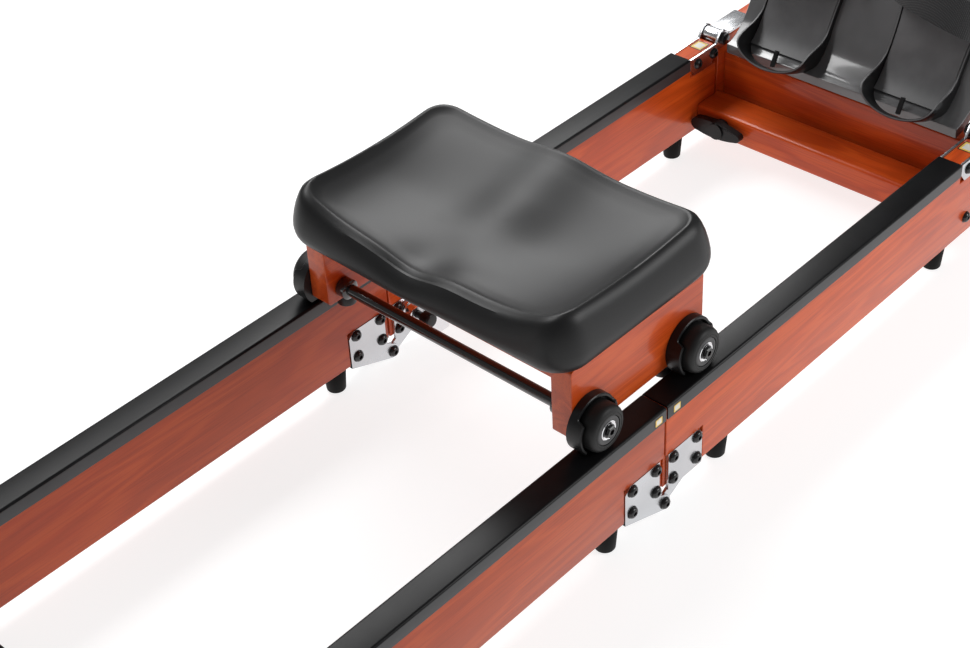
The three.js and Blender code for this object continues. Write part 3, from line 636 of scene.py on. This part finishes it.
def seat_ring(bm, grow_x, grow_y, radius, height, counts):
    """One loop of the seat: a rounded rectangle with a height for each of its points."""
    per_side, per_corner = counts
    hx, hy = SEAT_HALF.x + grow_x, SEAT_HALF.y + grow_y
    corners = ((1, 1, 0), (-1, 1, 90), (-1, -1, 180), (1, -1, 270))
    points = []
    for i, (sx, sy, start) in enumerate(corners):
        curve = arc(sx * (hx - radius), sy * (hy - radius), radius, start, start + 90, per_corner)
        points += curve
        nx, ny, following = corners[(i + 1) % 4]
        end = arc(nx * (hx - radius), ny * (hy - radius), radius, following, following + 90, 1)[0]
        points += [(curve[-1][0] + (end[0] - curve[-1][0]) * k / per_side,
                    curve[-1][1] + (end[1] - curve[-1][1]) * k / per_side)
                   for k in range(1, per_side)]
    return [bm.verts.new((SEAT_MID.x + x, SEAT_MID.y + y, height(x, y))) for x, y in points]


def make_seat():
    """The moulded seat: tapered walls, a rounded rim and a dished top."""
    counts = (26, 9)
    top = SEAT_HIGH.z - 0.6 * MM
    rim_x, rim_y = SEAT_HALF.x - RIM_IN[0], SEAT_HALF.y - RIM_IN[1]

    def rim(x, y):
        return top - seat_dip(max(-1, min(1, x / rim_x)), max(-1, min(1, y / rim_y)))

    def wall(share, drop=0.0):
        return lambda x, y: SEAT_LOW.z + share * (rim(x, y) - SEAT_LOW.z) - drop * MM

    bm = bmesh.new()
    rings = []
    for inset, share, drop, radius in (
            (32, 0.0, 0, 12), (10.0, 0.0, 0, 27), (7.4, 0.0, -0.6, 28), (5.6, 0.0, -2.4, 29),
            (3.4, 0.0, -5.4, 31), (1.2, 0.18, 0, 33), (0.2, 0.28, 0, 34), (0.5, 0.38, 0, 34),
            (2.0, 0.52, 0, 33), (4.6, 0.68, 0, 31), (8.0, 0.82, 0, 28), (11.0, 0.92, 0, 26),
            (13.4, 1.0, 2.6, 25), (15.2, 1.0, 1.0, 24), (17.0, 1.0, 0.2, 22), (18.4, 1.0, 0.0, 21),
            (20.2, 1.0, 0.6, 20), (23.0, 1.0, 2.0, 18)):
        rings.append(seat_ring(bm, -inset * MM, -inset * MM * 0.94, radius * MM,
                               wall(share, drop), counts))
    shrink = 24
    for i in range(1, shrink):
        k = 1 - i / shrink
        settle = min(1.0, i / 3.0)
        hx, hy = (SEAT_HALF.x - DISH_EDGE[0]) * k, (SEAT_HALF.y - DISH_EDGE[1]) * k
        rings.append(seat_ring(bm, hx - SEAT_HALF.x, hy - SEAT_HALF.y, 17 * MM * k,
                               wall(1.0, 2.0 + 1.2 * settle), counts))
    skin(bm, rings)
    bm.faces.new(rings[0])
    tip = bm.verts.new((SEAT_MID.x, SEAT_MID.y, rim(0, 0) - 3.2 * MM))
    last = rings[-1]
    for i in range(len(last)):
        bm.faces.new((last[i], last[(i + 1) % len(last)], tip))
    seat = show(make_object("seat_moulding", bm), SEAT_SKIN, "seat_foam", "carriage", "seat_pad")
    smooth = seat.modifiers.new("smooth", "SMOOTH")
    smooth.factor = 0.5
    smooth.iterations = 2


def make_axles():
    for end in ENDS:
        axle = f"axle_{end}"
        centre, _ = across_place(axle)
        r, reach = 6 * MM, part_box(axle)[1].y - 1 * MM
        collar = (128 * MM, 138.6 * MM)
        half = [(r, collar[0] - 0.6 * MM), (9.4 * MM, collar[0]), (10 * MM, collar[0] + 0.6 * MM),
                (10 * MM, collar[1] - 0.6 * MM), (9.4 * MM, collar[1]), (r, collar[1] + 0.1 * MM),
                (r, reach - 0.6 * MM), (r - 0.6 * MM, reach), (0, reach)]
        show(turned(axle + "_shape", mirrored(half), "y", centre, 48), BLACK_STEEL, "black_steel",
             "carriage", axle)


WHEEL_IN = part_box("wheel_rear_left")[0].y  # inner face of the wheels


def make_wheel(end, label, side):
    """A tyre on a grey hub, a bright bearing, and the bolt that holds the wheel."""
    name = f"wheel_{end}_{label}"
    body = f"{end}_{label}_wheel"
    centre, r = across_place(name)
    centre.y = side * WHEEL_IN
    r = r / MM
    tyre = [(6.4, 1), (r - 2, 1), (r - 0.6, 1.8), (r, 3.5), (r, 14), (r - 0.6, 16.2), (r - 1.8, 18),
            (r - 3.6, 19.3), (r - 5.2, 19.6), (r - 5.8, 19.2), (r - 6.4, 19.6), (14.6, 19.6),
            (14.2, 18.4), (6.4, 18.4)]
    show(turned(name + "_tyre", in_mm(tyre, side), "y", centre), TYRE, "wheel_rubber", body, name)
    hub = [(9.6, 17.6), (14, 17.6), (14, 19), (13.2, 19.5), (11.6, 19.5), (11, 19), (9.6, 19)]
    show(turned(name + "_hub", in_mm(hub, side), "y", centre), HUB, "black_plastic", body)
    bearing = [(6.4, 17.8), (9.5, 17.8), (9.5, 19.3), (8.8, 19.7), (8.2, 19.2), (6.4, 19.2)]
    show(turned(name + "_bearing", in_mm(bearing, side), "y", centre), CHROME, "bright_steel", body)
    bm = bmesh.new()
    bolt = [(0, 19.4), (5.6, 19.4), (6, 20), (6, 22.2), (5.2, 23), (3, 23), (2.8, 20.6), (0, 20.4)]
    lathe(bm, in_mm(bolt, side), "y", centre, 6)
    collar = [(0, 19.3), (6.8, 19.3), (6.8, 20.2), (0, 20.2)]
    lathe(bm, in_mm(collar, side), "y", centre, 40)
    show(make_object(name + "_bolt", bm, sharp=math.radians(25)), BOLT_BLACK, "black_steel",
         "carriage")


def make_wheels():
    for label, side in SIDES:
        for end in ENDS:
            make_wheel(end, label, side)


FENDER_OUT, FENDER_IN = 28 * MM, 24.6 * MM  # radii of the fender's rim
SHIELD_CUT = (141, 148)  # degrees round the wheel between which the rim widens into the shield
TOE_CUT = (26, 20)  # the same for the smaller widening at its other end


def make_fender(end, label, side):
    """Moulded cover: a thin rim over the wheel and a deep shield behind it."""
    fender = f"fender_{end}_{label}"
    centre, _ = across_place(f"wheel_{end}_{label}")
    outer, inner = FENDER_OUT, FENDER_IN
    drop = math.degrees(math.asin((centre.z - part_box(fender)[0].z) / outer))
    back, plate = WHEEL_IN - 4.7 * MM, WHEEL_IN - 1 * MM
    rim, shield = WHEEL_IN + 3.6 * MM, WHEEL_IN + 11 * MM
    bm = bmesh.new()
    outline = [(centre.x + a, centre.z + b) for a, b in arc(0, 0, outer, -drop, 180 + drop, 56)]
    prism(bm, outline, "y", side * back, side * plate)
    soften(bm, 0.5 * MM)
    steps = 96
    rings = []
    for i in range(steps + 1):
        angle = 180 + drop - (180 + 2 * drop) * i / steps
        wide = max(smoothstep(*SHIELD_CUT, angle), 0.45 * smoothstep(*TOE_CUT, angle))
        reach = rim + (shield - rim) * wide
        a = math.radians(angle)
        section = ((inner, plate - 0.5 * MM), (outer, plate - 0.5 * MM), (outer, reach - 0.8 * MM),
                   (outer - 0.8 * MM, reach), (inner + 0.8 * MM, reach), (inner, reach - 0.8 * MM))
        rings.append([bm.verts.new((centre.x + radius * math.cos(a), side * y,
                                    centre.z + radius * math.sin(a))) for radius, y in section])
    loft(bm, rings)
    show(make_object(fender + "_shape", bm), BLACK_PLASTIC, "black_plastic", "carriage", fender)


def make_fenders():
    for label, side in SIDES:
        for end in ENDS:
            make_fender(end, label, side)


def make_guide_rollers():
    """Rollers on upright pins that keep the carriage between the rails."""
    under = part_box("carriage_side_left")[0].z
    for label, side in SIDES:
        bm = bmesh.new()
        for dx in (-63 * MM, 44 * MM):
            centre = Vector((MID.x + dx, side * (RAIL_IN - 12 * MM), under))
            roller = [(0, -17), (9.2, -17), (9.8, -16.2), (9.8, -4.8), (9.2, -4), (5, -4), (5, -0.2),
                      (0, -0.2)]
            lathe(bm, in_mm(roller), "z", centre, 48)
            head = [(0, -20), (3.4, -20), (4.4, -19), (4.4, -16.8), (0, -16.8)]
            lathe(bm, in_mm(head), "z", centre, 24)
        show(make_object(f"guide_rollers_{label}", bm), BLACK_PLASTIC, "black_plastic", "carriage")


# -------------------- footboard
def on_board(s, y, n):
    """A point of the footboard: up along it, across it, and out of its face."""
    return BOARD_FOOT + BOARD_UP * s + Vector((0, y, 0)) + BOARD_OUT * n


LIP = ((-11, 21.2), (4, 2.2), (34, 0.9))  # curve that the cradle's underside follows, in mm


def along_curve(points, s):
    """Height at s on a curve of (s, height) points, held level past its ends."""
    if s <= points[0][0]:
        return points[0][1]
    for (s0, n0), (s1, n1) in zip(points, points[1:]):
        if s <= s1:
            return n0 + (n1 - n0) * (s - s0) / (s1 - s0)
    return points[-1][1]


WALL_TOP = cubic((-4, 42), (16, 42), (20, 7), (46, 7), 24)
WALL_LOW = [(-24, 37), LIP[0]] + quad(*LIP, 12)
SOLE_TOP = cubic((0, 13.5), (10, 8), (20, 6), (40, 6), 12)
EASE = 0.25  # how far the rim of the cradle is rounded into its thickness


def add_pad(bm, side, outline, low, high):
    """A flat pad on the footboard between two heights, in mm."""
    loft(bm, [[bm.verts.new(on_board(s * MM, side * CRADLE_Y + y * MM, n * MM)) for s, y in outline]
              for n in (low, high)])


def sole_outline(grow):
    """Outline of a foot cradle in mm (up the board, across): a blunt heel and a wider toe."""
    heel, toe, end = 43 + grow, 50 + grow, 235 + grow
    right = ([(s, -heel) for s in (10, 15, 20, 25, 30, 35)] + [(40, 0.5 - heel)]
             + quad((40, 0.5 - heel), (70, 1 - heel), (100, -heel - 2), 6)
             + quad((100, -heel - 2), (130, -toe), (160, -toe), 6) + [(175, -toe), (190, -toe)]
             + quad((190, -toe), (end, 4 - toe), (end, 0), 12))
    left = [(s, -y) for s, y in reversed(right[:-1])]
    round_heel = [(5 + (23 + grow) * a, heel * b) for a, b in arc(0, 0, 1, 90, 270, 40)]
    return right + left + round_heel


def make_cradle(label, side):
    """A thin-walled cup round the heel that runs on into a low wall round the sole."""
    bm = bmesh.new()
    rings = [[] for _ in range(7)]
    for (s0, y0), (s1, y1) in zip(sole_outline(0), sole_outline(3)):
        top = along_curve(WALL_TOP, s0)
        low0, low1 = along_curve(WALL_LOW, s0) + 0.3, along_curve(WALL_LOW, s1) + 0.3
        section = ((s1, y1, low1), (s1, y1, (low1 + top) / 2), (s1, y1, top - 1.2),
                   (s1 + (s0 - s1) * EASE, y1 + (y0 - y1) * EASE, top),
                   (s0 + (s1 - s0) * EASE, y0 + (y1 - y0) * EASE, top), (s0, y0, top - 1.2),
                   (s0, y0, low0))
        for ring, (s, y, n) in zip(rings, section):
            ring.append(bm.verts.new(on_board(s * MM, side * CRADLE_Y + y * MM, n * MM)))
    skin(bm, rings + rings[:1])
    cup = show(make_object(f"cradle_cup_{label}", bm), CRADLE_PLASTIC, "cradle_plastic",
               f"{label}_footrest", f"foot_cradle_{label}")
    # painted highlight: the rim's top faces, facing out of the board, take the lighter sole grey
    cup.data.materials.append(SOLE_PLASTIC)
    for face in cup.data.polygons:
        if (face.center - BOARD_FOOT).dot(BOARD_OUT) > 6 * MM and face.normal.dot(BOARD_OUT) > 0.6:
            face.material_index = 1
    make_sole(label, side)


def make_sole(label, side):
    """The foot plate between the walls, raised at its heel, and a rib from it to the cup."""
    right = sole_outline(-0.3)
    right = right[:right.index(max(right)) + 1]
    bm = bmesh.new()
    rings = []
    for s in list(range(0, 45, 3)) + list(range(50, 231, 6)) + [233]:
        half = -along_curve(right, s)
        top = along_curve(SOLE_TOP, s)
        low = max(0.9, top - 3)
        rings.append([bm.verts.new(on_board(s * MM, side * CRADLE_Y + y * MM, n * MM))
                      for y, n in ((-half, low), (-half, top - 0.6), (0.6 - half, top),
                                   (half - 0.6, top), (half, top - 0.6), (half, low))])
    loft(bm, rings)
    for i in range(5):
        s = 146 + 16 * i
        add_pad(bm, side, rounded_rect(s, s + 6, -26, 26, 2.6, 3), 5.6, 7.2)
    show(make_object(f"sole_plate_{label}", bm), SOLE_PLASTIC, "cradle_plastic",
         f"{label}_footrest")
    bm = bmesh.new()
    add_pad(bm, side, rounded_rect(-16, 3, -2.2, 2.2, 1, 3), 22, 26)
    show(make_object(f"cradle_rib_{label}", bm), CRADLE_PLASTIC, "cradle_plastic",
         f"{label}_footrest")


def make_foot_strap(label, side):
    """Webbing arched over the foot, slanted so that it lies lower on its outer side."""
    reach, rise, thick, wide = 54.5, 60, 2.4, 38
    start, slant = 90, 10
    centre = ([(-reach, 3)] + cubic((-reach, 20), (-reach, rise), (reach, rise), (reach, 20), 40)
              + [(reach, 3)])
    bm = bmesh.new()
    rings = []
    for i, (y, n) in enumerate(centre):
        before, after = centre[max(0, i - 1)], centre[min(len(centre) - 1, i + 1)]
        tangent = Vector((after[0] - before[0], after[1] - before[1])).normalized()
        low = start - slant * side * y / reach
        ring = []
        for s, out in ((0, -1), (0, 1), (2, 1.15), (wide - 2, 1.15), (wide, 1), (wide, -1)):
            offset = out * thick / 2
            ring.append(bm.verts.new(on_board((low + s) * MM,
                                              side * CRADLE_Y + (y - tangent.y * offset) * MM,
                                              (n + tangent.x * offset) * MM)))
        rings.append(ring)
    loft(bm, rings)
    show(make_object(f"strap_over_foot_{label}", bm), webbing(f"webbing_foot_{label}", "y"), "webbing",
         f"{label}_footrest", f"foot_strap_{label}")


def make_footboard():
    show_refined("footboard", BOARD_GLOSS, "board_gloss", "front_frame", width=1.0 * MM, segments=3)
    for label, side in SIDES:
        make_cradle(label, side)
        make_foot_strap(label, side)


# -------------------- tank and drive
TANK_CENTRE = Vector((JOINTS["impeller_spin"]["pos_m"][0], 0, 0))
TANK_SCREWS = 16


def make_tank():
    """Two clear shells that meet at a flange, with screws round it."""
    low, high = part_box("tank_lower_shell")
    upper_low, upper_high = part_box("tank_upper_shell")
    flange = (high.x - low.x) / 2
    r = flange - 9 * MM
    wall = 4 * MM
    base, seam = low.z, high.z
    steps = 128
    lower = ([(0, base)] + arc(r - 30 * MM, base + 30 * MM, 30 * MM, 270, 360, 10)
             + [(r, seam - 4 * MM), (flange, seam - 4 * MM), (flange, seam), (r - wall, seam)]
             + arc(r - 30 * MM, base + 30 * MM, 30 * MM - wall, 360, 270, 10) + [(0, base + wall)])
    show(turned("tank_lower", lower, "z", TANK_CENTRE, steps), CLEAR, "clear_shell", "front_frame",
         "tank_lower_shell")
    top = upper_high.z - 10 * MM
    neck = 22 * MM
    round_r = 45 * MM
    seam_up = upper_low.z
    upper = ([(r - wall, seam_up), (flange, seam_up), (flange, seam_up + 4 * MM), (r, seam_up + 4 * MM)]
             + arc(r - round_r, top - round_r, round_r, 0, 90, 12)
             + [(neck + 6 * MM, top), (neck + 6 * MM, top + 9 * MM), (neck + 5 * MM, top + 10 * MM),
                (neck, top + 10 * MM), (neck, top - wall)]
             + arc(r - round_r, top - round_r, round_r - wall, 90, 0, 12))
    show(turned("tank_upper", upper, "z", TANK_CENTRE, steps), CLEAR, "clear_shell", "front_frame",
         "tank_upper_shell")
    bm = bmesh.new()
    for i in range(TANK_SCREWS):
        angle = 2 * math.pi * i / TANK_SCREWS
        centre = TANK_CENTRE + Vector((math.cos(angle), math.sin(angle), 0)) * (flange - 4.5 * MM)
        head = [(0, seam_up + 3.9 * MM), (3.2 * MM, seam_up + 3.9 * MM), (3.2 * MM, seam_up + 5.4 * MM),
                (2.2 * MM, seam_up + 6.4 * MM), (0, seam_up + 6.6 * MM)]
        lathe(bm, head, "z", centre, 20)
    show(make_object("tank_screws", bm), CHROME, "bright_steel", "front_frame")
    show_refined("impeller", PADDLE, "paddle", "paddle", width=0.8 * MM)


def make_drum():
    low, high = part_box("strap_drum")
    z0, z1 = low.z, high.z
    flange = (high.x - low.x) / 2
    core, bore = 45 * MM, 8.4 * MM
    profile = [(bore, z0), (flange - 1 * MM, z0), (flange, z0 + 1 * MM), (flange, z0 + 3 * MM),
               (flange - 1 * MM, z0 + 4 * MM), (core, z0 + 4 * MM), (core, z1 - 4 * MM),
               (flange - 1 * MM, z1 - 4 * MM), (flange, z1 - 3 * MM), (flange, z1 - 1 * MM),
               (flange - 1 * MM, z1), (24 * MM, z1), (22 * MM, z1 - 2 * MM), (14 * MM, z1 - 2 * MM),
               (13 * MM, z1), (bore, z1)]
    show(turned("drum", profile, "z", TANK_CENTRE, 96), BLACK_PLASTIC, "black_plastic", "drum",
         "strap_drum")
    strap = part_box("drive_strap")
    layers = []
    for i in range(6):
        r = core + (0.4 + 1.3 * i) * MM
        layers += [(r, strap[1].z), (r + 0.9 * MM, strap[1].z), (r + 1.1 * MM, strap[1].z - 0.8 * MM)]
    outside = core + 8 * MM
    coil = [(core + 0.3 * MM, strap[0].z)] + layers[:-1] + [(outside, strap[1].z - 0.6 * MM),
                                                           (outside, strap[0].z)]
    show(turned("strap_coil", list(reversed(coil)), "z", TANK_CENTRE, 128),
         webbing("webbing_coil", "z"), "webbing", "drum")


HANDLE_LOW, HANDLE_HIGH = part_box("handle")
HANDLE_X = HANDLE_LOW.x + 16 * MM
HANDLE_Z = (HANDLE_LOW.z + HANDLE_HIGH.z) / 2


def make_handle():
    """Handle with ribbed grips and end caps, and the clevis that takes the strap."""
    half = HANDLE_HIGH.y
    profile = [(0, -half), (12 * MM, -half), (14.5 * MM, -half + 1 * MM), (16 * MM, -half + 3 * MM),
               (16 * MM, -half + 11 * MM), (14.4 * MM, -half + 14 * MM)]
    first, last = -half + 20 * MM, -60 * MM
    ribs = 40
    for i in range(ribs):
        y = first + (last - first) * i / ribs
        swell = 1.2 * MM * math.sin(math.pi * (i / ribs))
        profile += [(14.0 * MM + swell, y), (14.7 * MM + swell, y + 0.8 * MM),
                    (14.7 * MM + swell, y + 2.0 * MM), (14.0 * MM + swell, y + 2.6 * MM)]
    profile += [(14.8 * MM, -56 * MM), (14.8 * MM, -52 * MM), (12.6 * MM, -48 * MM)]
    profile += [(radius, -y) for radius, y in reversed(profile)]
    centre = Vector((HANDLE_X, 0, HANDLE_Z))
    show(turned("handle_grips", profile, "y", centre, 48), GRIP, "grip", "pull_handle", "handle")
    bm = bmesh.new()
    reach = HANDLE_HIGH.x
    outline = (arc(HANDLE_X, HANDLE_Z, 14 * MM, 90, 270, 20)
               + [(reach - 3 * MM, HANDLE_Z - 14 * MM), (reach, HANDLE_Z - 11 * MM),
                  (reach, HANDLE_Z + 11 * MM), (reach - 3 * MM, HANDLE_Z + 14 * MM)])
    prism(bm, outline, "y", -9 * MM, 9 * MM)
    soften(bm, 1 * MM)
    show(make_object("handle_clevis", bm), BLACK_STEEL, "black_steel", "pull_handle")


def make_drive_strap():
    """The strap from the drum to the handle, where it runs between the footboard and the handle."""
    low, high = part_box("drive_strap")
    near = Vector((HANDLE_HIGH.x - 2 * MM, 0, 0))
    far = Vector((TANK_CENTRE.x, 51.5 * MM, 0))
    bend_end, bend_start = HANDLE_HIGH.x + 1 * MM, HANDLE_HIGH.x + 34 * MM
    stations = [near.x] + [bend_end + (bend_start - bend_end) * i / 48 for i in range(49)]
    stations += [bend_start + (far.x - bend_start) * i / 20 for i in range(1, 21)]
    bm = bmesh.new()
    rings = []
    for x in stations:
        y = far.y * (x - near.x) / (far.x - near.x)
        ring = [bm.verts.new((x, y + dy, z)) for dy, z in
                ((-1.1 * MM, low.z + 1 * MM), (0, low.z + 0.3 * MM), (1.1 * MM, low.z + 1 * MM),
                 (1.1 * MM, high.z - 1 * MM), (0, high.z - 0.3 * MM), (-1.1 * MM, high.z - 1 * MM))]
        rings.append(ring)
    loft(bm, rings)
    strap = make_object("drive_strap_run", bm)
    strap.data.materials.append(webbing("webbing_drive", "x"))
    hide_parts("drive_strap")
    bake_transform(strap)


def make_monitor():
    """The monitor's case, its screen with plain bars, and a row of keys."""
    show_refined("monitor", BLACK_PLASTIC, "black_plastic", "console", width=2.5 * MM, segments=4,
                 angle=60)
    panel_x = JOINTS["monitor_tilt"]["pos_m"][0] - 14 * MM
    middle_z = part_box("monitor")[1].z - 44 * MM
    across, up, out = Vector((0, 1, 0)), Vector((0, 0, 1)), Vector((-1, 0, 0))
    bm = bmesh.new()
    add_plate(bm, Vector((panel_x + 0.2 * MM, 0, middle_z)), (across, up, out), 62 * MM, 30 * MM,
              1.0 * MM, 4 * MM)
    show(make_object("monitor_screen", bm), SCREEN, "black_plastic", "console")
    bm = bmesh.new()
    for i in range(5):
        add_plate(bm, Vector((panel_x + 0.2 * MM, (i - 2) * 24 * MM, middle_z - 42 * MM)),
                  (across, up, out), 8 * MM, 4.5 * MM, 1.6 * MM, 3 * MM)
    show(make_object("monitor_keys", bm), HUB, "black_plastic", "console")
    bm = bmesh.new()
    for row, width in ((18, 40), (4, 50), (-10, 30)):
        add_plate(bm, Vector((panel_x - 0.75 * MM, 0, middle_z + row * MM)), (across, up, out),
                  width * MM, 2.2 * MM, 0.1 * MM, 1 * MM)
    show(make_object("monitor_bars", bm), LABEL_BLACK, "black_plastic", "console")


def make_transport_wheels():
    centre, r = across_place("transport_wheels")
    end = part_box("transport_wheels")[1].y
    axle = 5 * MM
    half = [(axle, end - 24 * MM), (r - 6 * MM, end - 24 * MM), (r - 2 * MM, end - 23 * MM),
            (r, end - 20 * MM), (r, end - 4 * MM), (r - 2 * MM, end - 1 * MM), (r - 6 * MM, end),
            (r - 9 * MM, end - 1.5 * MM), (10 * MM, end - 1.5 * MM), (9 * MM, end - 0.5 * MM),
            (0, end - 0.5 * MM)]
    show(turned("transport_wheels_shape", mirrored(half), "y", centre, 64), TYRE, "wheel_rubber",
         "transport", "transport_wheels")


# -------------------- camera and studio
CAMERA_PLACE = (-1.4200, -0.9201, 1.1699)
CAMERA_TURN = (44.6, 38.07, -3.47)  # heading, angle below the level, and roll, in degrees
CAMERA_LENS = 67.1
CAMERA_SENSOR = 36


def make_camera():
    """The camera looks along a heading and a downward angle, with a slight roll."""
    heading, down, roll = (math.radians(angle) for angle in CAMERA_TURN)
    ahead = Vector((math.cos(heading) * math.cos(down), math.sin(heading) * math.cos(down),
                    -math.sin(down)))
    right = ahead.cross(Vector((0, 0, 1))).normalized()
    up = right.cross(ahead)
    right_rolled = right * math.cos(roll) + up * math.sin(roll)
    up_rolled = up * math.cos(roll) - right * math.sin(roll)
    turn = Matrix((right_rolled, up_rolled, -ahead)).transposed().to_4x4()
    data = bpy.data.cameras.new("camera")
    data.lens = CAMERA_LENS
    data.sensor_width = CAMERA_SENSOR
    camera = bpy.data.objects.new("camera", data)
    camera.matrix_world = Matrix.Translation(CAMERA_PLACE) @ turn
    bpy.context.scene.collection.objects.link(camera)
    bpy.context.scene.camera = camera


def add_light(name, place, target, size, power):
    data = bpy.data.lights.new(name, "AREA")
    data.shape = "RECTANGLE"
    data.size, data.size_y = size
    data.energy = power
    light = bpy.data.objects.new(name, data)
    light.location = place
    light.rotation_euler = (Vector(target) - Vector(place)).to_track_quat("-Z", "Y").to_euler()
    bpy.context.scene.collection.objects.link(light)


def make_studio():
    """White floor and sky, a long soft box overhead, one behind and one on the right."""
    scene = bpy.context.scene
    scene.view_settings.view_transform = "Standard"
    world = bpy.data.worlds.new("studio")
    scene.world = world
    world.use_nodes = True
    background = world.node_tree.nodes["Background"]
    background.inputs["Color"].default_value = (1, 1, 1, 1)
    background.inputs["Strength"].default_value = 0.22
    bm = bmesh.new()
    reach = 12.0
    corners = [bm.verts.new((x, y, -0.0005)) for x, y in
               ((-reach, -reach), (reach, -reach), (reach, reach), (-reach, reach))]
    bm.faces.new(corners)
    floor = make_object("floor", bm)
    material, tree, shader = new_material("floor_white")
    cloud = noise(tree, coordinates(tree), 2.0, 2)
    tones = ((0.0, (0.34, 0.34, 0.34)), (1.0, (0.36, 0.36, 0.36)))
    feed(tree, shader, Base_Color=ramp(tree, cloud, tones), Roughness=0.7,
         Emission_Color=(1, 1, 1, 1), Emission_Strength=0.80)
    floor.data.materials.append(material)
    add_light("box_overhead", (0.1, 1.35, 1.95), (0.0, 0.1, 0.15), (3.0, 0.7), 50)
    add_light("box_behind", (1.1, 1.4, 1.5), (-0.3, 0, 0.2), (1.0, 0.8), 9)
    add_light("box_right", (0.8, -1.8, 1.2), (0.1, 0, 0.1), (1.2, 1.0), 24)


# -------------------- assembly
make_camera()
make_boards()
make_strips()
make_floor_parts()
make_mid_hinge()
make_lock()
make_front_hinge()
make_wing()
make_labels()
make_seat()
make_axles()
make_wheels()
make_fenders()
make_guide_rollers()
make_footboard()
make_tank()
make_drum()
make_handle()
make_drive_strap()
make_monitor()
make_transport_wheels()
make_studio()
